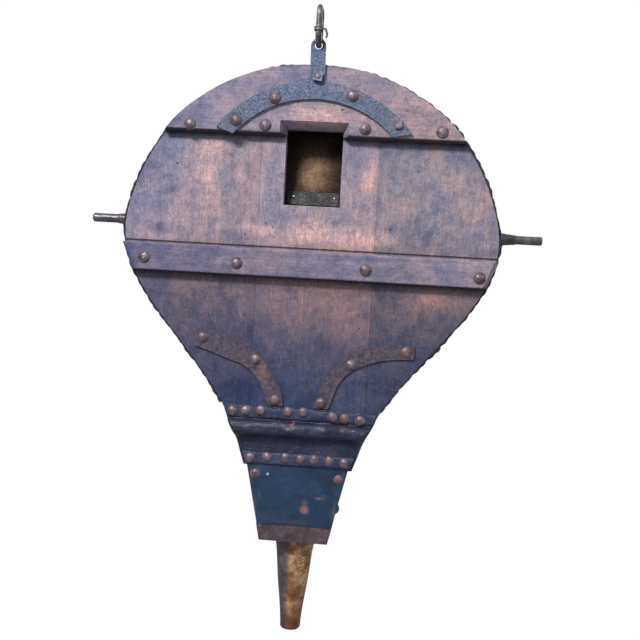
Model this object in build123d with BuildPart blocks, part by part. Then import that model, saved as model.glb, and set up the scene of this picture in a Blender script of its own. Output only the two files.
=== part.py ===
from build123d import *
import math
import os

# Double-chamber forge bellows, standing on its nose with the tail and the
# lifting ring at the top.  Millimetres.  The origin is the midpoint of the two
# trunnions, on the mid-plane of the middle board.  +Z points to the tail,
# -Y is the pump (front) board's side, +Y the wind-chest (back) board's side.

# ---------------------------------------------------------------- dimensions
BOARD_T = 25.0          # pump and top board thickness
MID_T = 36.0            # middle board thickness
HINGE_Z = -419.0        # height of both board hinge lines
HINGE_Y = 60.0          # distance of each hinge line from the mid-plane
OUT_H = 6.0             # outer board face above its hinge plane
IN_H = OUT_H - BOARD_T  # inner board face above its hinge plane
PUMP_OPEN = 5.0         # pump board angle at rest, 0 = parallel
TOP_OPEN = 8.0          # top board angle at rest
BOARD_START = 12.0      # distance from the hinge line to a board's lower end
SEAM_L, SEAM_R = -107.0, 133.0   # plank seams
SEAM_GAP = 0.3

HOLE_X = 57.5           # half-width of the intake hole
HOLE_LO, HOLE_HI = 457.0, 609.0
CLEAT_LO = 594.0        # lower edge of the tail cleat
CLEAT_T = 22.0
BATTEN_LO, BATTEN_HI = 309.0, 365.5
BATTEN_T = 20.0

STRAP_T = 4.0           # iron arc straps
BRACKET_T = 6.0         # iron lifting bracket
LEATHER_T = 3.0
RIB_T = 6.0
RIB_W = 60.0

PIN_R = 9.5             # trunnion pin, 3/4 in bar
PIN_FROM, PIN_TO = 426.0, 482.0
BORE_R = 15.0           # wind bore of the nozzle

NOSE_TOP, NOSE_END = -432.0, -657.0
NOSE_Y = 60.0
TIP_Z = -854.0

INLET_LEAN = 17.0       # inlet flap, fallen open against its stop strap
DELIVERY_LEAN = 14.0    # delivery flap, same

EYE_S = 770.0           # ring eye in the tang
EYE_R = 8.0             # radius of the eye
LINK_ROD = 6.0          # radius of the link's bar

# Right half of the board outline as (half-width, distance from hinge line).
RIM = [(148, 12), (165, 44), (186, 78), (211, 111), (238, 144.5), (265, 177.3),
       (293, 211), (319.5, 244), (341.5, 277), (360, 309), (373.5, 341),
       (380, 373), (381.5, 405), (376.5, 438), (367, 471), (355.5, 503),
       (341, 535), (322.5, 567), (300.5, 599), (272.5, 630.5), (233.5, 662),
       (182, 693.7), (145, 709.5), (98, 724.5), (50, 732.3), (0, 734.5)]


# ------------------------------------------------------------------- planes
def front_plane(deg, h=0.0):
    """Plane hinged at the front hinge line, swung deg forward of parallel."""
    a = math.radians(deg)
    n = Vector(0, -math.cos(a), -math.sin(a))
    return Plane(origin=Vector(0, -HINGE_Y, HINGE_Z) + n * h, x_dir=(1, 0, 0), z_dir=n)


def back_plane(deg, h=0.0):
    """Plane hinged at the back hinge line, swung deg backward of parallel."""
    a = math.radians(deg)
    n = Vector(0, math.cos(a), -math.sin(a))
    return Plane(origin=Vector(0, HINGE_Y, HINGE_Z) + n * h, x_dir=(-1, 0, 0), z_dir=n)


def mid_plane(y=0.0):
    """Vertical plane at y, local y measured up from the hinge lines."""
    return Plane(origin=(0, y, HINGE_Z), x_dir=(1, 0, 0), z_dir=(0, -1, 0))


# ------------------------------------------------------------------ outline
def full_rim():
    right = [(float(x), float(s)) for x, s in RIM]
    left = [(-x, s) for x, s in reversed(right[:-1])]
    return right + left


def rim_points(off):
    """Outline points moved outward by off."""
    pts = full_rim()
    out = []
    for i, (x, s) in enumerate(pts):
        x0, s0 = pts[max(i - 1, 0)]
        x1, s1 = pts[min(i + 1, len(pts) - 1)]
        dx, ds = x1 - x0, s1 - s0
        m = math.hypot(dx, ds)
        out.append((x + off * ds / m, s - off * dx / m))
    return out


def rim_curve(pts):
    """Closed outline: short arcs round the rim, a line across the foot."""
    for i in range(0, len(pts) - 2, 2):
        ThreePointArc(pts[i], pts[i + 1], pts[i + 2])
    Line(pts[-1], pts[0])


def rim_walk(spacing, off, low, skip=None):
    """Evenly spaced stations along the outline: (x, s, outward angle)."""
    pts = [p for p in rim_points(off) if p[1] >= low]
    cum = [0.0]
    for a, b in zip(pts, pts[1:]):
        cum.append(cum[-1] + math.hypot(b[0] - a[0], b[1] - a[1]))
    n = int(round((cum[-1] - 24.0) / spacing))
    res = []
    for k in range(n + 1):
        d = 12.0 + (cum[-1] - 24.0) * k / n
        i = max(j for j in range(len(cum)) if cum[j] <= d)
        i = min(i, len(pts) - 2)
        f = (d - cum[i]) / (cum[i + 1] - cum[i])
        x = pts[i][0] + f * (pts[i + 1][0] - pts[i][0])
        s = pts[i][1] + f * (pts[i + 1][1] - pts[i][1])
        dx, ds = pts[i + 1][0] - pts[i][0], pts[i + 1][1] - pts[i][1]
        ang = math.degrees(math.atan2(-dx, ds))
        if skip is None or not skip(x, s):
            res.append((x, s, ang))
    return res


# --------------------------------------------------------------- three boards
def board_plank(plane, thick, x_lo, x_hi, hole=None, tongue=False):
    """One plank of a board, cut from the outline between two seams."""
    with BuildPart() as plank:
        with BuildSketch(plane):
            with BuildLine():
                rim_curve(rim_points(0.0))
            make_face()
            if tongue:
                with Locations((0, 0.65)):
                    Rectangle(236, 26.7)
                with Locations((0, -42.0)):
                    Rectangle(196, 60)
            with Locations(((x_lo + x_hi) / 2, 350.0)):
                Rectangle(x_hi - x_lo, 960, mode=Mode.INTERSECT)
            if hole:
                with Locations((0, (hole[1] + hole[2]) / 2)):
                    Rectangle(2 * hole[0], hole[2] - hole[1], mode=Mode.SUBTRACT)
        extrude(amount=thick)
        seams = [e for e in plank.edges().filter_by(GeomType.LINE)
                 if e.length > 300]
        chamfer(seams, length=0.5)
    return plank


FAR = 420.0
PUMP_HOLE = (HOLE_X, HOLE_LO, HOLE_HI)
MID_HOLE = (50.0, 434.0, 574.0)
half = SEAM_GAP / 2

pump_in = front_plane(PUMP_OPEN, IN_H)
pump_plank_left = board_plank(pump_in, BOARD_T, -FAR, SEAM_L - half)
pump_plank_centre = board_plank(pump_in, BOARD_T, SEAM_L + half, SEAM_R - half, hole=PUMP_HOLE)
pump_plank_right = board_plank(pump_in, BOARD_T, SEAM_R + half, FAR)

mid_back = mid_plane(MID_T / 2)
middle_plank_left = board_plank(mid_back, MID_T, -FAR, SEAM_L - half)
middle_plank_centre = board_plank(mid_back, MID_T, SEAM_L + half, SEAM_R - half,
                                  hole=MID_HOLE, tongue=True)
middle_plank_right = board_plank(mid_back, MID_T, SEAM_R + half, FAR)

top_in = back_plane(TOP_OPEN, IN_H)
top_plank_left = board_plank(top_in, BOARD_T, -FAR, SEAM_L - half)
top_plank_centre = board_plank(top_in, BOARD_T, SEAM_L + half, SEAM_R - half)
top_plank_right = board_plank(top_in, BOARD_T, SEAM_R + half, FAR)


# --------------------------------------------------- tail cleats and battens
def tail_cleat(plane, notch):
    with BuildPart() as cleat:
        with BuildSketch(plane):
            with BuildLine():
                rim_curve(rim_points(0.0))
            make_face()
            with Locations((0, CLEAT_LO + 200.0)):
                Rectangle(900, 400, mode=Mode.INTERSECT)
        extrude(amount=CLEAT_T)
        low_front = cleat.edges().filter_by(GeomType.LINE).sort_by(Axis(plane.origin, plane.z_dir))[-1]
        chamfer(low_front, length=6.0)
        if notch:
            # splayed notch over the intake hole, wider at the outer face
            with BuildSketch(plane.offset(-1.0)):
                with Locations((0, 585.0)):
                    Rectangle(2 * HOLE_X, 48.0)
            with BuildSketch(plane.offset(CLEAT_T + 1.0)):
                with Locations((0, 592.5)):
                    Rectangle(2 * (HOLE_X + 12.0), 64.0)
            loft(mode=Mode.SUBTRACT)
    return cleat


def cross_batten(plane):
    with BuildPart() as batten:
        with BuildSketch(plane):
            with BuildLine():
                Polyline((-360, BATTEN_LO), (360, BATTEN_LO), (383, BATTEN_HI),
                         (-383, BATTEN_HI), close=True)
            make_face()
        extrude(amount=BATTEN_T)
        front = batten.faces().sort_by(Axis(plane.origin, plane.z_dir))[-1]
        long_edges = front.edges().filter_by(Axis.X)
        chamfer(long_edges, length=2.5)
        ends = [e for e in batten.faces().sort_by(Axis(plane.origin, plane.z_dir))[-1].edges()
                if abs(e.center().X) > 300]
        chamfer(ends, length=8.0)
    return batten


pump_out = front_plane(PUMP_OPEN, OUT_H)
top_out = back_plane(TOP_OPEN, OUT_H)
pump_tail_cleat = tail_cleat(pump_out, True)
top_tail_cleat = tail_cleat(top_out, False)
pump_cross_batten = cross_batten(pump_out)
top_cross_batten = cross_batten(top_out)


# ------------------------------------------------------------ dome-head nails
def nail(r, head, shank_r, shank):
    """Hand-forged dome-head nail, underside of the head at z = 0."""
    dome = (r * r + head * head) / (2 * head)
    foot = math.degrees(math.asin((dome - head) / dome))
    with BuildPart() as one:
        Sphere(dome, arc_size1=foot, arc_size2=90,
               align=(Align.CENTER, Align.CENTER, Align.MIN))
        with Locations((0, 0, 0.5)):
            Cylinder(shank_r, shank - 2.5, align=(Align.CENTER, Align.CENTER, Align.MAX))
        with Locations((0, 0, 3.0 - shank)):
            Cone(shank_r * 0.35, shank_r, 3.0, align=(Align.CENTER, Align.CENTER, Align.MAX))
    return one.part


def nail_set(template, places):
    """Copies of one nail at the given planes, as separate solids."""
    with BuildPart() as group:
        with Locations(*[p.location for p in places]):
            add(template)
    return group


def at(plane, x, s, h=0.0):
    return Plane(origin=plane.from_local_coords((x, s, h)), x_dir=plane.x_dir, z_dir=plane.z_dir)


def at_rim(plane, x, s, ang, h):
    """Plane at a rim station whose normal points outward from the edge."""
    a = math.radians(ang)
    n = plane.x_dir * math.cos(a) + plane.y_dir * math.sin(a)
    return Plane(origin=plane.from_local_coords((x, s, h)), x_dir=plane.z_dir, z_dir=n)


big_nail = nail(12.5, 7.0, 3.0, 34.0)
mid_nail = nail(11.5, 6.0, 2.6, 20.0)
row_nail = nail(10.8, 5.5, 2.4, 17.0)
rim_nail = nail(7.5, 3.4, 1.8, 18.0)
tack = nail(3.2, 1.4, 1.1, 12.0)

pump_zero = front_plane(PUMP_OPEN)
top_zero = back_plane(TOP_OPEN)

BRACKET_H = OUT_H + CLEAT_T + BRACKET_T
pump_dome_nails = nail_set(big_nail, [
    at(pump_zero, x, s, OUT_H + CLEAT_T) for x, s in
    [(-251, 608), (-98.6, 612), (101, 613), (253.6, 614)]
] + [
    at(pump_zero, x, s, OUT_H + BATTEN_T) for x, s in
    [(-335, 336), (-144, 334), (118.6, 334), (345.5, 331)]
] + [
    at(pump_zero, x, s, BRACKET_H) for x, s in [(-157, 619), (-81, 665), (72.6, 676)]
])
top_dome_nails = nail_set(big_nail, [
    at(top_zero, x, s, OUT_H + CLEAT_T) for x, s in
    [(-250, 610), (-99, 612), (99, 612), (252, 611)]
] + [
    at(top_zero, x, s, OUT_H + BATTEN_T) for x, s in
    [(-340, 335), (-140, 334), (140, 335), (338, 334)]
])

# -------------------------------------------- lifting bracket, ring and tie
with BuildPart() as lift_bracket:
    with BuildSketch(front_plane(PUMP_OPEN, OUT_H + CLEAT_T)):
        with Locations((0, 452)):
            Circle(249)
            Circle(215, mode=Mode.SUBTRACT)
        with BuildLine(mode=Mode.PRIVATE) as wedge:
            Polyline((0, 560), (-100, 568.5), (-262, 629.6), (-262, 760), (262, 760), (262, 619.6),
                     (100, 588.8), close=True)
        add(make_face(wedge.edges(), mode=Mode.PRIVATE), mode=Mode.INTERSECT)
        with BuildLine():
            l1 = Line((-15, EYE_S), (-14, 716))
            l2 = ThreePointArc((-14, 716), (-19, 706), (-33, 698))
            l3 = Line((-33, 698), (-33, 680))
            l4 = Line((-33, 680), (34, 680))
            l5 = Line((34, 680), (34, 698))
            l6 = ThreePointArc((34, 698), (21, 706), (16, 716))
            l7 = Line((16, 716), (15, EYE_S))
            l8 = ThreePointArc((15, EYE_S), (0, EYE_S + 15), (-15, EYE_S))
        make_face()
        with Locations((0, EYE_S + 1.5)):
            Circle(EYE_R, mode=Mode.SUBTRACT)
        with Locations((2.6, 711)):
            Circle(5.05, mode=Mode.SUBTRACT)
    extrude(amount=BRACKET_T)
    eye_rims = lift_bracket.edges().filter_by(
        lambda e: e.geom_type == GeomType.CIRCLE and abs(e.radius - EYE_R) < 0.01)
    chamfer(eye_rims, length=1.5)

with BuildPart() as bracket_bolt:
    with BuildSketch(front_plane(PUMP_OPEN, IN_H)):
        with Locations((2.6, 711)):
            Circle(11)
    extrude(amount=4.0)
    with BuildSketch(front_plane(PUMP_OPEN, IN_H)):
        with Locations((2.6, 711)):
            Circle(5.0)
    extrude(amount=BRACKET_H - IN_H + 12.0)
    tip = bracket_bolt.faces().sort_by(Axis(pump_zero.origin, pump_zero.z_dir))[-1]
    chamfer(tip.edges(), length=1.5)

with BuildPart() as bracket_nut:
    with BuildSketch(front_plane(PUMP_OPEN, BRACKET_H + 0.1)):
        with Locations(Location((2.6, 711, 0), (0, 0, -10))):
            Rectangle(18.6, 18.6)
        with Locations((2.6, 711)):
            Circle(5.05, mode=Mode.SUBTRACT)
    extrude(amount=9.0)
    corners = bracket_nut.edges().filter_by(lambda e: abs(e.length - 9.0) < 0.01)
    chamfer(corners, length=1.4)

with BuildPart() as broken_bolt_stub:
    with BuildSketch(front_plane(PUMP_OPEN, BRACKET_H - BRACKET_T - 24.0)):
        with Locations((167, 623)):
            Circle(5.0)
    extrude(amount=24.0 + BRACKET_T)
    with BuildSketch(front_plane(PUMP_OPEN, BRACKET_H)):
        with BuildLine():
            Polyline((160.5, 617), (171, 615.5), (175, 621), (172.5, 630), (164, 631),
                     (159, 625), close=True)
        make_face()
    extrude(amount=6.0)
    top = broken_bolt_stub.faces().sort_by(Axis(pump_zero.origin, pump_zero.z_dir))[-1]
    chamfer(top.edges(), length=1.6)

# The link threads the tang's eye and stands above it, edge-on from the front.
eye = pump_zero.from_local_coords((0, EYE_S + 2.2, OUT_H + CLEAT_T + BRACKET_T / 2))
LINK_R = 20.5
LINK_STRAIGHT = 33.0
with BuildPart() as ring_link:
    link_plane = Plane(origin=eye, x_dir=(0, 1, 0), z_dir=(1, 0, 0))
    with BuildLine(link_plane) as link_path:
        ThreePointArc((LINK_R, LINK_R), (0, 0), (-LINK_R, LINK_R))
        Line((-LINK_R, LINK_R), (-LINK_R, LINK_R + LINK_STRAIGHT))
        ThreePointArc((-LINK_R, LINK_R + LINK_STRAIGHT), (0, 2 * LINK_R + LINK_STRAIGHT),
                      (LINK_R, LINK_R + LINK_STRAIGHT))
        Line((LINK_R, LINK_R + LINK_STRAIGHT), (LINK_R, LINK_R))
    with BuildSketch(Plane(origin=eye + Vector(0, LINK_R, LINK_R), x_dir=(1, 0, 0), z_dir=(0, 0, 1))):
        Circle(LINK_ROD)
    sweep(path=link_path.wires()[0])

# Three turns of stiff wire round the link's front bar, the twisted ends turned down.
tie_c = eye + Vector(0, -LINK_R, 0)
with BuildPart() as wire_tie:
    with BuildSketch(Plane(origin=tie_c, x_dir=(1, 0, 0), z_dir=(0, 1, 0))):
        with Locations((LINK_ROD + 1.7, -23.0), (LINK_ROD + 1.7, -25.8), (LINK_ROD + 1.7, -28.6)):
            Circle(1.6)
    revolve(axis=Axis(tie_c, (0, 0, 1)))
    tail_pts = [tie_c + Vector(6.6, 0, 27.0), tie_c + Vector(13.5, -1.0, 25.5),
                tie_c + Vector(17.0, -2.0, 16.0), tie_c + Vector(16.0, -2.5, 8.0)]
    with BuildLine() as tail_line:
        FilletPolyline(*tail_pts, radius=3.5)
    with BuildSketch(Plane(origin=tail_pts[0], z_dir=tail_pts[1] - tail_pts[0])):
        Circle(2.1)
    sweep(path=tail_line.wires()[0])


# --------------------------------------------------------- arc straps (iron)
def strap(outer, inner):
    with BuildPart() as bar:
        with BuildSketch(pump_out):
            with BuildLine():
                Spline(*outer)
                Line(outer[-1], inner[-1])
                Spline(*inner)
                Line(inner[0], outer[0])
            make_face()
        extrude(amount=STRAP_T)
    return bar


arc_strap_left = strap(
    [(-227, 190), (-203, 197), (-182.5, 191), (-160, 184), (-137, 174.5), (-114, 162), (-91, 147),
     (-73, 125.5), (-56, 101), (-44, 79), (-37, 44)],
    [(-226, 158), (-206, 153), (-186, 146.5), (-149, 133.5), (-113, 119), (-97, 104.5),
     (-82, 80), (-73, 60), (-69, 44)])
arc_strap_right = strap(
    [(26, 44), (35, 75), (48, 105), (67, 130), (86, 149), (108, 164), (136, 176), (164.6, 182),
     (198.6, 186), (227, 184)],
    [(57, 44), (65, 68), (75, 95), (91, 117), (110, 131), (132.5, 141.5), (155, 149),
     (195, 155.5), (226, 157)])

arc_strap_nails = nail_set(mid_nail, [
    at(pump_zero, x, s, OUT_H + STRAP_T) for x, s in
    [(-210, 176), (-98, 137), (-54, 55), (210, 171), (99, 138), (43, 55)]])

# ------------------------------------------------------ hinge leather, front
# Section of the hinge leather: nailed to the board end, rolled outward over
# the hinge gap, nailed down again on the nose block.
GAP = 0.3


def hinge_half(z):
    """Half-width of the hinge leather at height z."""
    table = [(-372, 162), (-407, 148), (-431, 134), (-474, 120), (-500, 110)]
    for (za, wa), (zb, wb) in zip(table, table[1:]):
        if z >= zb:
            return wa + (wb - wa) * (z - za) / (zb - za)
    return table[-1][1]


def hinge_leather(sign, plane, deg):
    """Leather across the hinge gap; sign -1 front, +1 back."""
    a = math.radians(deg)
    base = OUT_H + GAP

    def on_board(s, h):
        return (sign * (HINGE_Y + s * math.sin(a) + h * math.cos(a)),
                HINGE_Z + s * math.cos(a) - h * math.sin(a))
    p0 = on_board(40, base)
    p1 = on_board(14, base)
    q0 = on_board(40, base + LEATHER_T)
    q1 = on_board(14, base + LEATHER_T)
    y_in = NOSE_Y + GAP
    y_out = y_in + LEATHER_T
    with BuildPart() as leather:
        with BuildSketch(Plane.YZ.offset(-180)):
            with BuildLine():
                Line(p0, p1)
                Spline(p1, (sign * (HINGE_Y + 17.0), -418.5), (sign * (HINGE_Y + 21.0), -430),
                       (sign * (HINGE_Y + 15.0), -442), (sign * y_in, -458))
                Line((sign * y_in, -458), (sign * y_in, -500))
                Line((sign * y_in, -500), (sign * y_out, -500))
                Line((sign * y_out, -500), (sign * y_out, -460))
                Spline((sign * y_out, -460), (sign * (HINGE_Y + 18.0), -444.5),
                       (sign * (HINGE_Y + 24.5), -430), (sign * (HINGE_Y + 20.5), -416), q1)
                Line(q1, q0)
                Line(q0, p0)
            make_face()
        extrude(amount=360)
        with BuildSketch(Plane(origin=(0, sign * 30, 0), x_dir=(1, 0, 0), z_dir=(0, sign, 0))):
            flip = -sign
            with BuildLine():
                Polyline((-162, flip * -372), (162, flip * -372), (148, flip * -407), (134, flip * -431),
                         (120, flip * -474), (110, flip * -500), (110, flip * -510), (-110, flip * -510),
                         (-110, flip * -500), (-120, flip * -474), (-134, flip * -431),
                         (-148, flip * -407), close=True)
            make_face()
        extrude(amount=120, mode=Mode.INTERSECT)
    return leather


FRONT_ROW = [(-140.5, 28), (-113, 30), (-82, 32), (-25, 33), (7.6, 34), (67, 28), (93.4, 27), (124.7, 24)]
BACK_ROW = [(-136, 27), (-98, 29), (-60, 28), (-20, 27), (21, 28), (62, 29), (99, 27), (137, 28)]
FRONT_NOSE = [(-99.6, -487), (-63, -484), (-26, -484), (5.5, -483.6), (35.4, -483), (66, -483), (97.6, -486)]
BACK_NOSE = [(-97, -486), (-64, -485), (-33, -484), (0, -485), (32, -484), (65, -486), (98, -485)]


def row_holes(plane, row, r=2.8):
    """Clearance holes for the board-side nails through the hinge leather."""
    with BuildPart() as cutter:
        for x, s in row:
            with BuildSketch(at(plane, x, s, OUT_H - 2)):
                Circle(r)
        extrude(amount=10)
    return cutter.part


front_hinge_leather = hinge_leather(-1, pump_zero, PUMP_OPEN)
with front_hinge_leather:
    add(row_holes(pump_zero, FRONT_ROW), mode=Mode.SUBTRACT)
back_hinge_leather = hinge_leather(1, top_zero, TOP_OPEN)
with back_hinge_leather:
    add(row_holes(top_zero, BACK_ROW), mode=Mode.SUBTRACT)

ROW_H = OUT_H + 2 * GAP + LEATHER_T         # underside of the board-side strip


def row_strip(plane, deg):
    """Doubling strip of leather under the row of nails at the board's end."""
    with BuildPart() as strip_:
        with BuildSketch(plane):
            with BuildLine():
                Polyline((-150, 15), (150, 15), (159, 40), (-159, 40), close=True)
            make_face()
        extrude(amount=LEATHER_T)
        fillet(strip_.edges().filter_by(Axis.X).group_by(Axis(plane.origin, plane.z_dir))[-1], radius=1.2)
    return strip_


pump_hinge_strip = row_strip(front_plane(PUMP_OPEN, ROW_H), PUMP_OPEN)
top_hinge_strip = row_strip(back_plane(TOP_OPEN, ROW_H), TOP_OPEN)
pump_hinge_nails = nail_set(row_nail, [at(pump_zero, x, s, ROW_H + LEATHER_T) for x, s in FRONT_ROW])
top_hinge_nails = nail_set(row_nail, [at(top_zero, x, s, ROW_H + LEATHER_T) for x, s in BACK_ROW])


def nose_strip(sign):
    y0 = NOSE_Y + GAP + LEATHER_T
    with BuildPart() as strip_:
        with BuildSketch(Plane(origin=(0, sign * y0, 0), x_dir=(-sign, 0, 0), z_dir=(0, sign, 0))):
            with BuildLine():
                Polyline((-117, -473), (117, -473), (109, -499), (-109, -499), close=True)
            make_face()
        extrude(amount=LEATHER_T)
    return strip_


front_nose_strip = nose_strip(-1)
back_nose_strip = nose_strip(1)
NAIL_Y = NOSE_Y + GAP + 2 * LEATHER_T
nose_row_nails = nail_set(row_nail, [
    Plane(origin=(x, -NAIL_Y, z), x_dir=(1, 0, 0), z_dir=(0, -1, 0)) for x, z in FRONT_NOSE
] + [
    Plane(origin=(x, NAIL_Y, z), x_dir=(-1, 0, 0), z_dir=(0, 1, 0)) for x, z in BACK_NOSE
])

# ------------------------------------------------ nose block and its cover
NOSE_HALF = [(-432, 124), (-475, 114.5), (-502, 103), (-623, 75.5), (-657, 68)]


def nose_outline(grow, z_hi, z_lo):
    """Front outline of the nose between two heights, grown sideways."""
    def w(z):
        for (za, wa), (zb, wb) in zip(NOSE_HALF, NOSE_HALF[1:]):
            if z >= zb:
                return wa + (wb - wa) * (z - za) / (zb - za)
        return NOSE_HALF[-1][1]
    zs = [z_hi] + [z for z, _ in NOSE_HALF if z_lo < z < z_hi] + [z_lo]
    right = [(w(z) + grow, z) for z in zs]
    return right + [(-x, z) for x, z in reversed(right)]


xz_front = Plane(origin=(0, -NOSE_Y, 0), x_dir=(1, 0, 0), z_dir=(0, -1, 0))
with BuildPart() as nose_block:
    with BuildSketch(Plane(origin=(0, NOSE_Y, 0), x_dir=(1, 0, 0), z_dir=(0, -1, 0))):
        with BuildLine():
            Polyline(*nose_outline(0, NOSE_TOP, NOSE_END), close=True)
        make_face()
    extrude(amount=2 * NOSE_Y)
    # slot that takes the middle board's tongue
    with Locations((0, 0, NOSE_TOP - 31)):
        Box(196.4, MID_T + 0.2, 62.2 + 0.2, mode=Mode.SUBTRACT)
    # air way from the wind chest down to the nozzle
    with Locations((0, 37, NOSE_TOP - 33)):
        Box(80, 26, 70, mode=Mode.SUBTRACT)
    with Locations((0, 15, (-495 - 600) / 2)):
        Box(80, 70, 105, mode=Mode.SUBTRACT)
    with Locations((0, 0, -628)):
        Cylinder(20, 60, mode=Mode.SUBTRACT)
    with Locations((0, 0, NOSE_END + 8.5)):
        Cylinder(24.05, 17.05, mode=Mode.SUBTRACT)

COVER_T = 2.5
with BuildPart() as nose_cover:
    with BuildSketch(Plane(origin=(0, NOSE_Y + COVER_T, 0), x_dir=(1, 0, 0), z_dir=(0, -1, 0))):
        with BuildLine():
            Polyline(*nose_outline(COVER_T, -502, -623.5), close=True)
        make_face()
    extrude(amount=2 * (NOSE_Y + COVER_T))
    corner = nose_cover.edges().filter_by(lambda e: abs(e.center().X) > 60 and abs(abs(e.center().Y) - NOSE_Y - COVER_T) < 0.01 and e.length > 50)
    fillet(corner, radius=2.4)
    with BuildSketch(Plane(origin=(0, NOSE_Y, 0), x_dir=(1, 0, 0), z_dir=(0, -1, 0))):
        with BuildLine():
            Polyline(*nose_outline(0, -501.9, -623.6), close=True)
        make_face()
    extrude(amount=2 * NOSE_Y, mode=Mode.SUBTRACT)

BAND_T = 3.5
with BuildPart() as nose_end_band:
    with BuildSketch(Plane(origin=(0, NOSE_Y + BAND_T, 0), x_dir=(1, 0, 0), z_dir=(0, -1, 0))):
        with BuildLine():
            Polyline(*nose_outline(BAND_T, -624.0, -656.9), close=True)
        make_face()
    extrude(amount=2 * (NOSE_Y + BAND_T))
    upright = nose_end_band.edges().filter_by(lambda e: abs(e.center().X) > 60 and abs(abs(e.center().Y) - NOSE_Y - BAND_T) < 0.01 and e.length > 20)
    fillet(upright, radius=3.0)
    with BuildSketch(Plane(origin=(0, NOSE_Y, 0), x_dir=(1, 0, 0), z_dir=(0, -1, 0))):
        with BuildLine():
            Polyline(*nose_outline(0, -623.9, -656.95), close=True)
        make_face()
    extrude(amount=2 * NOSE_Y, mode=Mode.SUBTRACT)

cover_front = Plane(origin=(0, -NOSE_Y - COVER_T, 0), x_dir=(1, 0, 0), z_dir=(0, -1, 0))
cover_back = Plane(origin=(0, NOSE_Y + COVER_T, 0), x_dir=(-1, 0, 0), z_dir=(0, 1, 0))
side_r = Plane(origin=(84.6, 0, -595), x_dir=(0, 1, 0), z_dir=(math.cos(math.radians(12.8)), 0, -math.sin(math.radians(12.8))))
side_l = Plane(origin=(-84.6, 0, -595), x_dir=(0, 1, 0), z_dir=(-math.cos(math.radians(12.8)), 0, -math.sin(math.radians(12.8))))
nose_cover_nails = nail_set(row_nail, [
    at(cover_front, -86.5, -520), at(cover_front, 87.6, -521.5),
    at(cover_back, -86, -520), at(cover_back, 87, -521), side_r, side_l])
band_front = Plane(origin=(0, -NOSE_Y - BAND_T, 0), x_dir=(1, 0, 0), z_dir=(0, -1, 0))
band_back = Plane(origin=(0, NOSE_Y + BAND_T, 0), x_dir=(-1, 0, 0), z_dir=(0, 1, 0))
nose_band_tacks = nail_set(tack, [
    at(p, x, z) for p in (band_front, band_back)
    for x, z in [(-69, -630), (70, -631), (-64, -651), (65, -650.5)]])

# ------------------------------------------------------------------- nozzle
with BuildPart() as nozzle:
    with BuildSketch(Plane.XZ):
        with BuildLine():
            Polyline((BORE_R, NOSE_END + 17), (24, NOSE_END + 17), (24, NOSE_END), (44, NOSE_END))
            Spline((44, NOSE_END), (40, -677), (32.8, -744), (26.6, -790), (22.6, -827), (21.3, -845))
            ThreePointArc((21.3, -845), (20.2, -851), (17.0, TIP_Z))
            Line((17.0, TIP_Z), (BORE_R, TIP_Z))
            Line((BORE_R, TIP_Z), (BORE_R, NOSE_END + 17))
        make_face()
    revolve(axis=Axis.Z)

# ---------------------------------------------------------------- trunnions
def trunnion(side):
    """Iron pin: spike in the board's edge, tapered collar, bare round end."""
    low = (Align.CENTER, Align.CENTER, Align.MIN)
    with BuildPart(Plane(origin=(side * 290, 0, 0), x_dir=(0, 1, 0), z_dir=(side, 0, 0))) as pin:
        Cone(4.0, 8.0, 12.0, align=low)
        with Locations((0, 0, 12.0)):
            Cylinder(8.0, 84.0, align=low)
        with Locations((0, 0, 94.6)):
            Cylinder(14.2, 5.4, align=low)
        with Locations((0, 0, 100.0)):
            Cone(14.2, 10.4, PIN_FROM - 390.0, align=low)
        with Locations((0, 0, PIN_FROM - 290.0)):
            Cylinder(PIN_R, PIN_TO - PIN_FROM, align=low)
        tip = pin.faces().sort_by(Axis((0, 0, 0), (side, 0, 0)))[-1]
        fillet(tip.edges(), radius=4.0)
    return pin


trunnion_right = trunnion(1)
trunnion_left = trunnion(-1)


# --------------------------------------------------- rim leather and its nails
def rim_strip(plane, thick, width, low):
    """Leather binding round a board's edge, open at the nose end."""
    with BuildPart() as ring_:
        with BuildSketch(plane):
            with BuildLine():
                rim_curve(rim_points(thick))
            make_face()
            with BuildLine():
                rim_curve(rim_points(0.15))
            make_face(mode=Mode.SUBTRACT)
            with Locations((0, low + 500.0)):
                Rectangle(1000, 1000, mode=Mode.INTERSECT)
        extrude(amount=width)
    return ring_


BIND_T = 2.4
pump_edge_strip = rim_strip(pump_in, BIND_T, BOARD_T - 0.5, 42.0)
top_edge_strip = rim_strip(top_in, BIND_T, BOARD_T - 0.5, 42.0)
middle_edge_strip = rim_strip(mid_plane(MID_T / 2), BIND_T, MID_T, 42.0)

NAIL_STEP = 41.0
pump_edge_nails = nail_set(rim_nail, [
    at_rim(pump_zero, x, s, a, (OUT_H + IN_H) / 2) for x, s, a in rim_walk(NAIL_STEP, BIND_T, 44.0,
        lambda x, s: abs(x) > 330 and BATTEN_LO - 2 < s < BATTEN_HI + 6)])
top_edge_nails = nail_set(rim_nail, [
    at_rim(top_zero, x, s, a, (OUT_H + IN_H) / 2) for x, s, a in rim_walk(NAIL_STEP, BIND_T, 44.0,
        lambda x, s: abs(x) > 330 and BATTEN_LO - 2 < s < BATTEN_HI + 6)])
middle_edge_nails = nail_set(rim_nail, [
    at_rim(mid_plane(0), x, s, a, 0.0) for x, s, a in rim_walk(NAIL_STEP, BIND_T, 44.0,
        lambda x, s: abs(s - 419) < 24)])


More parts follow.
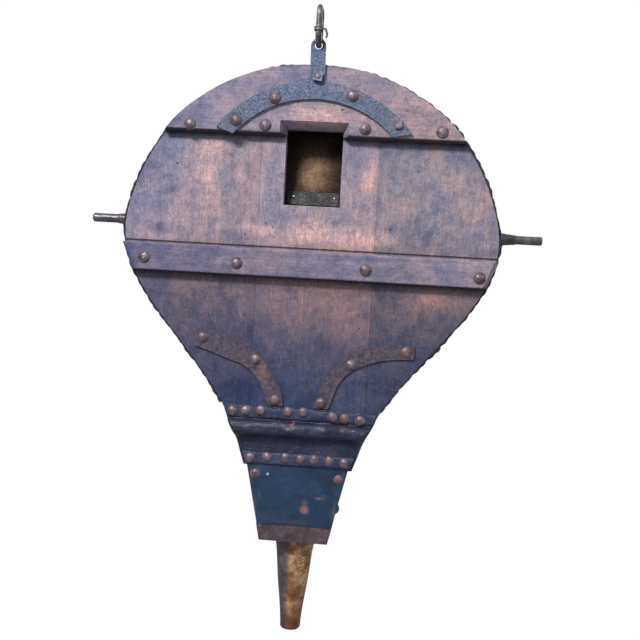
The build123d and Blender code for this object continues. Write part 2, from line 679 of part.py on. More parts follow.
# ----------------------------------------------------------- leather skirts
def skirt(sign, deg, board_in):
    """Wedge of leather wall between the middle board and a swung board."""
    y0 = MID_T / 2 + GAP
    with BuildPart() as wall:
        start = Plane(origin=(0, sign * y0, HINGE_Z), x_dir=(-sign, 0, 0), z_dir=(0, sign, 0))
        with BuildSketch(start):
            with BuildLine():
                rim_curve(rim_points(BIND_T))
            make_face()
            with BuildLine():
                rim_curve(rim_points(0.6))
            make_face(mode=Mode.SUBTRACT)
            with Locations((0, 520.0)):
                Rectangle(1000, 1000, mode=Mode.INTERSECT)
        extrude(amount=200)
        cutter = board_in.offset(-GAP)
        split(bisect_by=cutter, keep=Keep.BOTTOM)
    return wall


front_skirt = skirt(-1, PUMP_OPEN, pump_in)
back_skirt = skirt(1, TOP_OPEN, top_in)


# ------------------------------------------------------------ rib hoops
def rib(plane):
    """Thin wooden hoop that keeps the folds of the leather apart."""
    with BuildPart() as hoop:
        with BuildSketch(plane):
            with BuildLine():
                rim_curve(rim_points(-3.0))
            make_face()
            with BuildLine():
                rim_curve(rim_points(-3.0 - RIB_W))
            make_face(mode=Mode.SUBTRACT)
            with Locations((0, 560.0)):
                Rectangle(1000, 1000, mode=Mode.INTERSECT)
        extrude(amount=RIB_T)
    return hoop


front_rib_inner = rib(front_plane(PUMP_OPEN / 3, -39.5))
front_rib_outer = rib(front_plane(2 * PUMP_OPEN / 3, -27.5))
back_rib_inner = rib(back_plane(TOP_OPEN / 3, -39.5))
back_rib_outer = rib(back_plane(2 * TOP_OPEN / 3, -27.5))


# ----------------------------------------------------------- valve flaps
def frame_plane(origin, up, normal):
    """Plane with local y along up and local z along normal."""
    x = up.cross(normal)
    return Plane(origin=origin, x_dir=x, z_dir=normal)


# Inlet flap: hinged below the intake hole on the pump board's inner face.
INLET_S, INLET_H, INLET_L = 450.0, IN_H - 2.0, 165.0
inlet_o = pump_zero.from_local_coords((0, INLET_S, INLET_H))
a_in = math.radians(PUMP_OPEN - INLET_LEAN)
inlet_n = Vector(0, -math.cos(a_in), -math.sin(a_in))
inlet_up = Vector(0, -math.sin(a_in), math.cos(a_in))
inlet_plane = frame_plane(inlet_o, inlet_up, inlet_n)

# Delivery flap: hinged below the middle board's port, on its back face.
DEL_Z, DEL_L = 9.0, 155.0
del_o = Vector(0, MID_T / 2 + 2.0, DEL_Z)
a_del = math.radians(DELIVERY_LEAN)
del_n = Vector(0, -math.cos(a_del), math.sin(a_del))
del_up = Vector(0, math.sin(a_del), math.cos(a_del))
del_plane = frame_plane(del_o, del_up, del_n)


def flap_board(plane, w, length):
    with BuildPart() as leaf:
        with BuildSketch(plane.offset(-7.8)):
            with Locations((0, length / 2 + 1)):
                RectangleRounded(2 * w, length - 4, 6)
        extrude(amount=6.0)
    return leaf


def flap_leather(plane, w, length):
    """Facing leather of a flap; its lower margin is the flap's hinge."""
    with BuildPart() as face_:
        with BuildSketch(plane.offset(-1.8)):
            with Locations((0, length / 2 + 1)):
                RectangleRounded(2 * w, length, 4)
        extrude(amount=3.5)
    return face_


inlet_flap_board = flap_board(inlet_plane, 64.0, INLET_L)
inlet_flap_leather = flap_leather(inlet_plane, 66.0, INLET_L)
delivery_flap_board = flap_board(del_plane, 58.0, DEL_L)
delivery_flap_leather = flap_leather(del_plane, 60.0, DEL_L)

# Inlet hinge tongue: leather nailed under the hole, lapping the flap's foot.
with BuildPart() as inlet_hinge_strip:
    with BuildSketch(inlet_plane.offset(2.1)):
        with Locations((0, 22)):
            Rectangle(108, 30)
    extrude(amount=2.4)


def stop_strap(plane, w, base, y_mid, cut_plane):
    """Leather strap looped behind a flap that limits how far it opens."""
    with BuildPart() as loop_:
        with BuildSketch(plane.offset(-10.6)):
            with Locations((0, y_mid)):
                Rectangle(2 * (w + 2.4), 26)
        extrude(amount=2.4)
        with BuildSketch(plane.offset(-10.6)):
            with Locations((-w - 1.2, y_mid), (w + 1.2, y_mid)):
                Rectangle(2.4, 26)
        extrude(amount=70)
        split(bisect_by=cut_plane, keep=Keep.BOTTOM)
    return loop_


inlet_stop_strap = stop_strap(inlet_plane, 70.0, 0, 104.0, pump_in.offset(-0.1))
delivery_stop_strap = stop_strap(del_plane, 64.0, 0, 98.0,
                                 Plane(origin=(0, MID_T / 2 + 0.1, 0), x_dir=(1, 0, 0), z_dir=(0, -1, 0)))

# ------------------------------------------------------------------- export
PARTS = dict(
    pump_plank_left=pump_plank_left, pump_plank_centre=pump_plank_centre,
    pump_plank_right=pump_plank_right, pump_tail_cleat=pump_tail_cleat,
    pump_cross_batten=pump_cross_batten, pump_dome_nails=pump_dome_nails,
    lift_bracket=lift_bracket, bracket_bolt=bracket_bolt, bracket_nut=bracket_nut,
    broken_bolt_stub=broken_bolt_stub, ring_link=ring_link, wire_tie=wire_tie,
    arc_strap_left=arc_strap_left, arc_strap_right=arc_strap_right,
    arc_strap_nails=arc_strap_nails, pump_hinge_strip=pump_hinge_strip,
    pump_hinge_nails=pump_hinge_nails, pump_edge_strip=pump_edge_strip,
    pump_edge_nails=pump_edge_nails, inlet_stop_strap=inlet_stop_strap,
    inlet_flap_board=inlet_flap_board, inlet_flap_leather=inlet_flap_leather,
    inlet_hinge_strip=inlet_hinge_strip,
    delivery_flap_board=delivery_flap_board, delivery_flap_leather=delivery_flap_leather,
    delivery_stop_strap=delivery_stop_strap,
    middle_plank_left=middle_plank_left, middle_plank_centre=middle_plank_centre,
    middle_plank_right=middle_plank_right, middle_edge_strip=middle_edge_strip,
    middle_edge_nails=middle_edge_nails, trunnion_left=trunnion_left,
    trunnion_right=trunnion_right, nose_block=nose_block, nose_cover=nose_cover,
    nose_cover_nails=nose_cover_nails, nose_end_band=nose_end_band,
    nose_band_tacks=nose_band_tacks, nozzle=nozzle,
    front_hinge_leather=front_hinge_leather, back_hinge_leather=back_hinge_leather,
    front_nose_strip=front_nose_strip, back_nose_strip=back_nose_strip,
    nose_row_nails=nose_row_nails, front_skirt=front_skirt, back_skirt=back_skirt,
    front_rib_inner=front_rib_inner, front_rib_outer=front_rib_outer,
    back_rib_inner=back_rib_inner, back_rib_outer=back_rib_outer,
    top_plank_left=top_plank_left, top_plank_centre=top_plank_centre,
    top_plank_right=top_plank_right, top_tail_cleat=top_tail_cleat,
    top_cross_batten=top_cross_batten, top_dome_nails=top_dome_nails,
    top_edge_strip=top_edge_strip, top_edge_nails=top_edge_nails,
    top_hinge_strip=top_hinge_strip, top_hinge_nails=top_hinge_nails,
)
os.makedirs("parts", exist_ok=True)
for part_name, built in PARTS.items():
    built.part.label = part_name
    export_step(built.part, f"parts/{part_name}.step")
print(len(PARTS), "nodes")
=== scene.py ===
import bpy, bmesh, math, random
from mathutils import Vector, Matrix, noise
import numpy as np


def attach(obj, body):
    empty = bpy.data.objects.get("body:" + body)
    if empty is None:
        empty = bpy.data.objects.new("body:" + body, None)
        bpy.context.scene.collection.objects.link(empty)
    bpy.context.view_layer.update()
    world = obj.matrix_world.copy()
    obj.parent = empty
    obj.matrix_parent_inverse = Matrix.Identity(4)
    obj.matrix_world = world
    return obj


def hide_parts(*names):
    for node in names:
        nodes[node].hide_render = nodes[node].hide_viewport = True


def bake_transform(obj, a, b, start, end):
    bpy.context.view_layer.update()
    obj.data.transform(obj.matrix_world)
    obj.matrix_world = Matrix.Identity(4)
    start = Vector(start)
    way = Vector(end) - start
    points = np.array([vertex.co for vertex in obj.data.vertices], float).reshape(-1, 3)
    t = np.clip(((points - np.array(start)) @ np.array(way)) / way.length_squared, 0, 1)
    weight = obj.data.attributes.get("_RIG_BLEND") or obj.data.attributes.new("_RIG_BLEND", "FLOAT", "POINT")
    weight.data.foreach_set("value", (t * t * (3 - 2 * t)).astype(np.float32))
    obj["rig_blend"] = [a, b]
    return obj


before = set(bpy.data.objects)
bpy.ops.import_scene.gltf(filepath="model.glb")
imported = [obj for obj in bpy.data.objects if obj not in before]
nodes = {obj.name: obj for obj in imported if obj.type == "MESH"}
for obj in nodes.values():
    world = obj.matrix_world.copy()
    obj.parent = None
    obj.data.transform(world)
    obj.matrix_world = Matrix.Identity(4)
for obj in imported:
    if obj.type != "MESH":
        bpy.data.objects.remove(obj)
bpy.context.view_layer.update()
random.seed(7)
MM = 0.001
scene = bpy.context.scene

# ============================================================ node helpers
def lin(r, g, b):
    out = []
    for c in (r, g, b):
        c /= 255.0
        out.append(c / 12.92 if c <= 0.04045 else ((c + 0.055) / 1.055) ** 2.4)
    return (out[0], out[1], out[2], 1.0)


class Graph:
    """A small writer for shader node trees; every call returns an output socket."""

    def __init__(self, name):
        self.mat = bpy.data.materials.new(name)
        self.mat.use_nodes = True
        self.t = self.mat.node_tree
        self.t.nodes.clear()
        self.out = self.t.nodes.new("ShaderNodeOutputMaterial")
        self.b = self.t.nodes.new("ShaderNodeBsdfPrincipled")
        self.t.links.new(self.b.outputs[0], self.out.inputs[0])
        tc = self.t.nodes.new("ShaderNodeTexCoord")
        self.obj = tc.outputs["Object"]
        self.sep = None

    def new(self, kind, **kw):
        n = self.t.nodes.new(kind)
        for k, v in kw.items():
            setattr(n, k, v)
        return n

    def put(self, socket, value):
        if isinstance(value, bpy.types.NodeSocket):
            self.t.links.new(value, socket)
        else:
            socket.default_value = value

    def xyz(self, i):
        if self.sep is None:
            self.sep = self.new("ShaderNodeSeparateXYZ")
            self.put(self.sep.inputs[0], self.obj)
        return self.sep.outputs[i]

    def scaled(self, sx, sy, sz, off=(0, 0, 0), rot=(0, 0, 0)):
        m = self.new("ShaderNodeMapping")
        self.put(m.inputs["Vector"], self.obj)
        m.inputs["Scale"].default_value = (sx, sy, sz)
        m.inputs["Location"].default_value = off
        m.inputs["Rotation"].default_value = rot
        return m.outputs[0]

    def noise(self, vec, scale=1.0, detail=4.0, rough=0.55, dist=0.0):
        n = self.new("ShaderNodeTexNoise")
        self.put(n.inputs["Vector"], vec)
        n.inputs["Scale"].default_value = scale
        n.inputs["Detail"].default_value = detail
        n.inputs["Roughness"].default_value = rough
        n.inputs["Distortion"].default_value = dist
        return n.outputs["Fac"] if "Fac" in n.outputs else n.outputs[0]

    def voronoi(self, vec, scale=1.0, feature="F1", rand=1.0):
        n = self.new("ShaderNodeTexVoronoi", feature=feature)
        self.put(n.inputs["Vector"], vec)
        n.inputs["Scale"].default_value = scale
        n.inputs["Randomness"].default_value = rand
        return n.outputs["Distance"]

    def ramp(self, fac, stops, mode="LINEAR"):
        n = self.new("ShaderNodeValToRGB")
        n.color_ramp.interpolation = mode
        while len(n.color_ramp.elements) < len(stops):
            n.color_ramp.elements.new(0.5)
        for e, (p, c) in zip(n.color_ramp.elements, stops):
            e.position = p
            e.color = c if isinstance(c, tuple) else (c, c, c, 1.0)
        self.put(n.inputs[0], fac)
        return n.outputs[0]

    def span(self, v, a, b, c=0.0, d=1.0, smooth=False):
        n = self.new("ShaderNodeMapRange", interpolation_type="SMOOTHSTEP" if smooth else "LINEAR")
        n.clamp = True
        self.put(n.inputs[0], v)
        for i, q in enumerate((a, b, c, d)):
            n.inputs[i + 1].default_value = q
        return n.outputs[0]

    def math(self, op, a, b=None, c=None, clamp=False):
        n = self.new("ShaderNodeMath", operation=op, use_clamp=clamp)
        self.put(n.inputs[0], a)
        if b is not None:
            self.put(n.inputs[1], b)
        if c is not None:
            self.put(n.inputs[2], c)
        return n.outputs[0]

    def mix(self, fac, a, b, mode="MIX"):
        n = self.new("ShaderNodeMix", data_type="RGBA", blend_type=mode)
        n.clamp_factor = True
        self.put(n.inputs[0], fac)
        self.put(n.inputs[6], a)
        self.put(n.inputs[7], b)
        return n.outputs[2]

    def spot(self, x, z, rx, rz, ang=0.0, soft=1.0):
        """1 at (x, z) in mm, falling to 0 on an ellipse of radii rx, rz."""
        dx = self.math("SUBTRACT", self.xyz(0), x * MM)
        dz = self.math("SUBTRACT", self.xyz(2), z * MM)
        ca, sa = math.cos(math.radians(ang)), math.sin(math.radians(ang))
        u = self.math("ADD", self.math("MULTIPLY", dx, ca / (rx * MM)), self.math("MULTIPLY", dz, sa / (rx * MM)))
        v = self.math("ADD", self.math("MULTIPLY", dz, ca / (rz * MM)), self.math("MULTIPLY", dx, -sa / (rz * MM)))
        d = self.math("SQRT", self.math("ADD", self.math("MULTIPLY", u, u), self.math("MULTIPLY", v, v)))
        return self.span(d, 1.0, 1.0 - soft, 0.0, 1.0, smooth=True)

    def bump(self, height, dist, strength=1.0, before=None):
        n = self.new("ShaderNodeBump")
        n.inputs["Strength"].default_value = strength
        n.inputs["Distance"].default_value = dist
        self.put(n.inputs["Height"], height)
        if before is not None:
            self.put(n.inputs["Normal"], before)
        return n.outputs[0]

    def finish(self, color, rough, normal=None, metallic=0.0, specular=0.5, sheen=0.0, coat=0.0):
        self.put(self.b.inputs["Base Color"], color)
        self.put(self.b.inputs["Roughness"], rough)
        self.put(self.b.inputs["Metallic"], metallic)
        self.b.inputs["Specular IOR Level"].default_value = specular
        if sheen:
            self.b.inputs["Sheen Weight"].default_value = sheen
            self.b.inputs["Sheen Roughness"].default_value = 0.5
        if coat:
            self.b.inputs["Coat Weight"].default_value = coat
            self.b.inputs["Coat Roughness"].default_value = 0.35
        if normal is not None:
            self.put(self.b.inputs["Normal"], normal)
        return self.mat


# ============================================================ materials
def wood(name, heights, grain, seed, spots=(), dark=(), lines=(), sideways=None, blotch=1.0, under=(),
         spec=0.35, rough=(0.42, 0.72), gain=1.0):
    """Old stained board. heights: colours from the foot to the tail; grain 'z' or 'x'; spots and dark: rubbed places,
    one of them on the batten a painted highlight, and darkened places, partly stains and holes and partly painted shade
    below the batten and cleat (x, z, rx, rz, amount[, angle]); lines: thin pale joints (x, z, rx, rz, amount); under:
    painted shadow bands along edge lines in z (z_edge, reach)."""
    g = Graph(name)
    o = (seed * 1.7, seed * 0.9, seed * 2.3)
    if grain == "z":
        wide = g.scaled(24, 24, 2.4, o)
        fine = g.scaled(260, 260, 26, o)
        pore = g.scaled(620, 620, 70, o)
    else:
        wide = g.scaled(2.4, 24, 34, o)
        fine = g.scaled(20, 250, 260, o)
        pore = g.scaled(70, 620, 680, o)
    iso = g.scaled(1, 1, 1, o)
    iso2 = g.scaled(1, 1, 1, (o[1], o[2], o[0]))
    big = g.noise(iso, 5.0, 6, 0.66, 0.7)
    cloud = g.noise(iso2, 21.0, 7, 0.72, 0.5)
    band = g.noise(wide, 1.0, 6, 0.62, 1.2)
    line = g.noise(fine, 1.0, 6, 0.7, 0.5)
    dot = g.noise(pore, 1.0, 3, 0.6)
    grit = g.noise(iso, 240.0, 4, 0.7)
    col = g.ramp(g.span(g.xyz(2), -0.42, 0.32), [(p, (c[0] * gain, c[1] * gain, c[2] * gain, 1)) for p, c in heights])
    if sideways:
        wander = g.math("MULTIPLY", g.math("SUBTRACT", band, 0.5), 0.004)
        x = g.span(g.math("ADD", g.xyz(0), wander), -0.40, 0.40)
        col = g.mix(1.0, col, g.ramp(x, [((q / 400.0 + 1) / 2, c) for q, c in sideways]), "MULTIPLY")
    # cool stained places against warm rubbed ones
    tone = g.math("ADD", g.math("MULTIPLY", big, 0.5), g.math("ADD", g.math("MULTIPLY", cloud, 0.3), g.math("MULTIPLY", band, 0.2)))
    col = g.mix(blotch, col, g.ramp(tone, [(0.38, (0.50, 0.60, 0.78, 1)), (0.46, (0.78, 0.84, 0.92, 1)), (0.50, (1, 0.98, 0.96, 1)),
                                           (0.545, (1.26, 1.12, 1.00, 1)), (0.63, (1.60, 1.34, 1.12, 1))]), "MULTIPLY")
    col = g.mix(0.55, col, g.ramp(line, [(0.30, (0.52, 0.48, 0.54, 1)), (0.45, (0.88, 0.87, 0.92, 1)), (0.54, (1.06, 1.01, 0.98, 1)),
                                         (0.70, (1.5, 1.24, 1.08, 1))]), "MULTIPLY")
    col = g.mix(0.6, col, g.ramp(grit, [(0.3, (0.55, 0.56, 0.60, 1)), (0.5, (1, 1, 1, 1)), (0.7, (1.45, 1.34, 1.26, 1))]), "MULTIPLY")
    mott = g.noise(iso2, 62.0, 6, 0.75, 0.4)
    col = g.mix(0.85, col, g.ramp(mott, [(0.32, (0.60, 0.60, 0.66, 1)), (0.5, (1, 1, 1, 1)), (0.68, (1.42, 1.26, 1.14, 1))]), "MULTIPLY")
    streak = g.math("ADD", g.math("MULTIPLY", line, 0.55), g.math("MULTIPLY", cloud, 0.45))

    def gather(items):
        acc = None
        for q in items:
            m = g.math("MULTIPLY", g.spot(*q[:4], ang=(q[5] if len(q) > 5 else 0.0)), q[4])
            acc = m if acc is None else g.math("MAXIMUM", acc, m)
        return acc
    # rubbed places, lighter; on the batten the thin entry along its top edge is a painted highlight
    rub = gather(spots)
    if rub is not None:
        m = g.math("MULTIPLY", rub, g.span(streak, 0.40, 0.58, 0.45, 1.3))
        col = g.mix(m, col, g.mix(1.0, col, (1.75, 1.48, 1.28, 1), "MULTIPLY"))
    # darkened places: real stains and holes, together with painted shade along and below the lower edges of the batten
    # and cleat
    stain_and_shade = gather(dark)
    if stain_and_shade is not None:
        m = g.math("MULTIPLY", stain_and_shade, g.span(cloud, 0.35, 0.6, 1.2, 0.6))
        col = g.mix(m, col, g.mix(1.0, col, (0.34, 0.44, 0.60, 1), "MULTIPLY"))
    # painted shadow: each (z_edge, reach) pair lays a near-black band next to an edge line in z, standing for the shade
    # cast below the batten and cleat and on their downward-facing undersides
    if under:
        for z_edge, reach in under:
            k_ = g.span(g.xyz(2), (z_edge - reach) * MM, z_edge * MM)
            k_ = g.math("MULTIPLY", g.math("POWER", k_, 2.0), g.span(g.xyz(2), (z_edge + 3) * MM, (z_edge + 2) * MM))
            col = g.mix(g.math("MULTIPLY", k_, 0.93), col, lin(20, 15, 22))
    pale = gather(lines)
    if pale is not None:
        m = g.math("MULTIPLY", pale, g.span(streak, 0.42, 0.55, 0.2, 1.2))
        col = g.mix(m, col, g.mix(1.0, col, (1.9, 1.35, 1.1, 1), "MULTIPLY"))
    # rust-brown bleed, pits, open pores, pale flecks and scuffs
    warm = g.span(g.noise(iso2, 9.0, 6, 0.75, 0.6), 0.55, 0.72, 0.0, 0.55)
    col = g.mix(warm, col, g.mix(1.0, col, (1.25, 0.92, 0.72, 1), "MULTIPLY"))
    col = g.mix(g.span(dot, 0.37, 0.27, 0.0, 0.55), col, lin(46, 36, 42))
    pit = g.voronoi(iso, 34.0, "F1")
    pitm = g.math("MULTIPLY", g.span(pit, 0.085, 0.05), g.span(g.noise(iso, 12.0, 2), 0.52, 0.60))
    col = g.mix(g.math("MULTIPLY", pitm, 0.8), col, lin(40, 26, 28))
    fleck = g.span(g.noise(iso, 150.0, 3, 0.6), 0.70, 0.76, 0.0, 0.5)
    col = g.mix(g.math("MULTIPLY", fleck, g.span(big, 0.4, 0.6)), col, lin(206, 178, 172))
    dotty = g.noise(iso2, 330.0, 3, 0.75, 0.6)
    dm = g.math("MULTIPLY", g.span(dotty, 0.60, 0.68), g.span(g.noise(iso, 14.0, 5, 0.75), 0.48, 0.62))
    col = g.mix(g.math("MULTIPLY", dm, 0.7), col, lin(190, 142, 116))
    scr = g.voronoi(g.scaled(30, 30, 8, o, (0.1, 0.5, 0.0)), 1.0, "DISTANCE_TO_EDGE")
    scm = g.math("MULTIPLY", g.span(scr, 0.010, 0.0, 0.0, 0.5), g.span(cloud, 0.52, 0.66))
    col = g.mix(scm, col, g.mix(1.0, col, (1.5, 1.35, 1.25, 1), "MULTIPLY"))
    h = g.math("ADD", g.math("MULTIPLY", line, 0.6), g.math("MULTIPLY", band, 0.3))
    h = g.math("ADD", h, g.math("MULTIPLY", g.span(dot, 0.26, 0.36), 0.25))
    h = g.math("ADD", h, g.math("MULTIPLY", cloud, 0.45))
    h = g.math("SUBTRACT", h, g.math("MULTIPLY", pitm, 0.9))
    n = g.bump(h, 0.0015, 0.8)
    n = g.bump(grit, 0.0003, 0.5, n)
    r = g.span(g.math("ADD", g.math("MULTIPLY", cloud, 0.5), g.math("MULTIPLY", line, 0.5)), 0.35, 0.65, rough[0], rough[1])
    return g.finish(col, r, n, 0.0, spec)


def iron(name, tones, rust, rust_amount, seed, metal=0.55, rough=(0.42, 0.72), pit=1.0, scale=1.0, spec=0.5,
         spots=(), side=None, speck=None):
    """Hand-worked iron: tones are (dark, mid, light), pitted, with rust blooms."""
    g = Graph(name)
    o = (seed * 2.1, seed * 1.3, seed * 0.7)
    v = g.scaled(1, 1, 1, o)
    a = g.noise(v, 38.0 * scale, 6, 0.65, 0.4)
    b = g.noise(v, 150.0 * scale, 5, 0.6)
    c = g.noise(g.scaled(1, 1, 1, (o[1], o[0], o[2])), 11.0 * scale, 6, 0.7, 0.6)
    col = g.ramp(a, [(0.28, tones[0]), (0.5, tones[1]), (0.74, tones[2])])
    if side:
        x = g.span(g.xyz(0), side[0] * MM, side[1] * MM, 0.0, 1.0, smooth=True)
        col = g.mix(x, col, g.ramp(a, [(0.28, side[2][0]), (0.5, side[2][1]), (0.74, side[2][2])]))
    for s in spots:
        m = g.math("MULTIPLY", g.spot(*s[:4]), g.span(a, 0.35, 0.6, 0.3, 1.0))
        col = g.mix(g.math("MULTIPLY", m, s[4]), col, s[5])
    if speck:
        m = g.math("MULTIPLY", g.span(g.noise(v, 190.0, 5, 0.75, 0.5), 0.52, 0.60), g.spot(*speck[:4]))
        m = g.math("MULTIPLY", m, g.span(a, 0.36, 0.56, 0.25, 1.0))
        col = g.mix(g.math("MULTIPLY", m, speck[4]), col, speck[5])
    bloom = g.span(c, 0.60 - 0.22 * rust_amount, 0.72 - 0.15 * rust_amount, 0.0, 0.25 + 0.6 * rust_amount)
    rustcol = g.mix(g.span(b, 0.35, 0.65), rust, lin(96, 58, 40))
    col = g.mix(bloom, col, rustcol)
    pits = g.span(b, 0.36, 0.26, 0.0, 0.8)
    col = g.mix(pits, col, lin(26, 20, 20))
    bright = g.span(b, 0.66, 0.78, 0.0, 0.35)
    col = g.mix(bright, col, tones[2])
    h = g.math("ADD", g.math("MULTIPLY", a, 0.7), g.math("MULTIPLY", b, 0.45))
    n = g.bump(h, 0.0014 * pit, 0.9)
    m = g.math("SUBTRACT", metal, g.math("MULTIPLY", bloom, metal), clamp=True)
    r = g.span(g.math("ADD", g.math("MULTIPLY", a, 0.5), g.math("MULTIPLY", bloom, 0.5)), 0.2, 0.7, rough[0], rough[1])
    return g.finish(col, r, n, m, spec)


def leather(name, tones, seed, crack=0.6, rough=(0.38, 0.7), grain=1.0, spots=(), fleck=0.3, sheen=0.0, spec=0.45):
    """Old oiled leather: pebble grain, creases and cracks, rubbed high places."""
    g = Graph(name)
    o = (seed * 1.1, seed * 2.9, seed * 0.6)
    v = g.scaled(1, 1, 1, o)
    big = g.noise(v, 9.0, 5, 0.6, 0.5)
    mid = g.noise(v, 44.0, 6, 0.68, 0.6)
    peb = g.voronoi(v, 520.0 / grain, "F1")
    crk = g.voronoi(g.scaled(1, 1, 1.6, o), 58.0, "DISTANCE_TO_EDGE")
    col = g.ramp(big, [(0.3, tones[0]), (0.5, tones[1]), (0.72, tones[2])])
    col = g.mix(0.7, col, g.ramp(mid, [(0.28, lin(120, 118, 124)), (0.5, lin(196, 194, 196)), (0.72, lin(255, 248, 244))]), "MULTIPLY")
    cr = g.math("MULTIPLY", g.span(crk, 0.045, 0.0, 0.0, crack), g.span(mid, 0.42, 0.58))
    col = g.mix(cr, col, lin(18, 16, 20))
    rub = g.span(g.math("ADD", g.math("MULTIPLY", mid, 0.6), g.math("MULTIPLY", big, 0.4)), 0.56, 0.70, 0.0, fleck)
    col = g.mix(rub, col, tones[3])
    chips = g.math("MULTIPLY", g.span(g.noise(v, 260.0, 4, 0.75, 0.5), 0.60, 0.67), g.span(g.noise(g.scaled(1, 1, 0.5, o), 22.0, 5, 0.75), 0.50, 0.62))
    col = g.mix(g.math("MULTIPLY", chips, 0.75), col, tones[3])
    scuff = g.math("MULTIPLY", g.span(g.noise(g.scaled(1.4, 1.4, 0.25, o), 120.0, 5, 0.7), 0.58, 0.68), g.span(big, 0.42, 0.56))
    col = g.mix(g.math("MULTIPLY", scuff, 0.4), col, tones[3])
    for s in spots:
        m = g.math("MULTIPLY", g.spot(*s[:4], ang=(s[6] if len(s) > 6 else 0.0)), g.span(mid, 0.3, 0.6, 0.35, 1.0))
        col = g.mix(g.math("MULTIPLY", m, s[4]), col, s[5])
    h = g.math("ADD", g.math("MULTIPLY", mid, 0.7), g.math("MULTIPLY", g.span(peb, 0.0, 0.7, 0.25, 0.0), 0.5))
    h = g.math("SUBTRACT", h, g.math("MULTIPLY", g.span(crk, 0.05, 0.0), crack * 0.6))
    n = g.bump(h, 0.0018, 0.8)
    r = g.span(mid, 0.3, 0.7, rough[1], rough[0])
    return g.finish(col, r, n, 0.0, spec, sheen)


PUMP_SPOTS = [(30, -20, 150, 34, 1.0), (130, -26, 70, 26, 0.9), (-110, -18, 110, 22, 0.7), (-300, -42, 120, 14, 0.6),
              (300, -56, 120, 14, 0.6), (-215, 90, 36, 90, 0.6), (-210, 150, 60, 26, 0.5), (112, 110, 18, 80, 0.7),
              (-340, 60, 20, 60, 0.5), (-135, -180, 26, 60, 0.8), (241, -140, 60, 40, 0.6), (-40, -185, 40, 60, 0.45),
              (80, -200, 30, 70, 0.4), (-150, 96, 14, 50, 0.45), (330, 20, 40, 60, 0.35), (-60, -280, 50, 50, 0.25)]
# dark places: stains and holes, with painted shade in the bands at z -136 below the batten and at z 175-178 below the
# cleat
PUMP_DARK_AND_SHADE = [(-288, 54, 22, 20, 1.0), (-312, -19, 16, 14, 1.0), (238, -20, 15, 38, 1.0, -20.0), (-350, 50, 40, 90, 0.5),
             (190, 10, 60, 40, 0.35), (-158, 105, 16, 24, 0.5), (-91, -3, 4, 4, 1.0), (0, -6, 4, 4, 1.0), (-230, -168, 90, 50, 0.45),
             (-139, -335, 90, 50, 0.6), (171, -325, 90, 50, 0.55), (0, -370, 90, 60, 0.5), (20, -136, 380, 12, 0.5),
             (60, -250, 90, 60, 0.35), (-240, 175, 160, 9, 0.5), (240, 178, 160, 9, 0.5)]
PUMP_LINES = [(-8, -190, 2.0, 60, 0.9), (130.5, -190, 3.0, 70, 0.8), (-109, -175, 2.0, 50, 0.7), (-9, -260, 3, 20, 0.6)]
PUMP_SIDE = [(-400, (0.64, 0.78, 0.98, 1)), (-300, (0.70, 0.80, 0.92, 1)), (-187, (0.92, 0.92, 0.92, 1)),
             (-184, (0.68, 0.76, 0.84, 1)), (-109, (0.76, 0.80, 0.86, 1)), (-106, (0.86, 0.92, 0.98, 1)),
             (60, (0.96, 0.98, 0.98, 1)), (131, (1.02, 1.0, 0.97, 1)), (135, (0.76, 0.83, 0.85, 1)),
             (280, (0.80, 0.86, 0.87, 1)), (400, (0.86, 0.88, 0.88, 1))]
G = 1.0
# The mauve-blue cast in the height colours of the pump board, cleat and batten is a painted cool sky reflection laid
# over the brown wood tone.
wood_pump = wood("pump_board_wood",
                 [(0.0, lin(60, 72, 104)), (0.14, lin(70, 76, 104)), (0.30, lin(100, 93, 110)), (0.42, lin(134, 116, 124)),
                  (0.54, lin(148, 138, 152)), (0.66, lin(148, 139, 154)), (0.85, lin(144, 138, 154)), (1.0, lin(140, 134, 152))],
                 # painted shadow bands: below the batten (z -111), below the cleat (z 172.8) and a thin line just above
                 # the batten (z -51.6)
                 "z", 1.0, PUMP_SPOTS, PUMP_DARK_AND_SHADE, PUMP_LINES, PUMP_SIDE, under=((-111.0, 17.0), (172.8, 17.0), (-51.6, 3.6)))
# cleat: the dark band along its lower edge at z 178 and the edge band at z 174 are painted shade on its downward-facing
# lower edge
wood_cleat = wood("pump_cleat_wood", [(0.0, lin(150, 140, 154)), (1.0, lin(154, 142, 156))], "x", 4.0,
                  [(0, 212, 190, 34, 0.7), (70, 211, 120, 30, 0.5), (-190, 220, 60, 30, 0.4), (210, 250, 110, 30, 0.4), (-100, 285, 100, 24, 0.4)],
                  [(-290, 190, 60, 30, 0.5), (0, 312, 260, 12, 0.4), (290, 182, 60, 20, 0.4), (0, 178, 340, 8, 0.5)],
                  (), [(-400, (0.62, 0.70, 0.82, 1)), (0, (0.84, 0.86, 0.88, 1)), (400, (0.76, 0.78, 0.80, 1))], blotch=0.95,
                  under=((174.0, -4.0),))
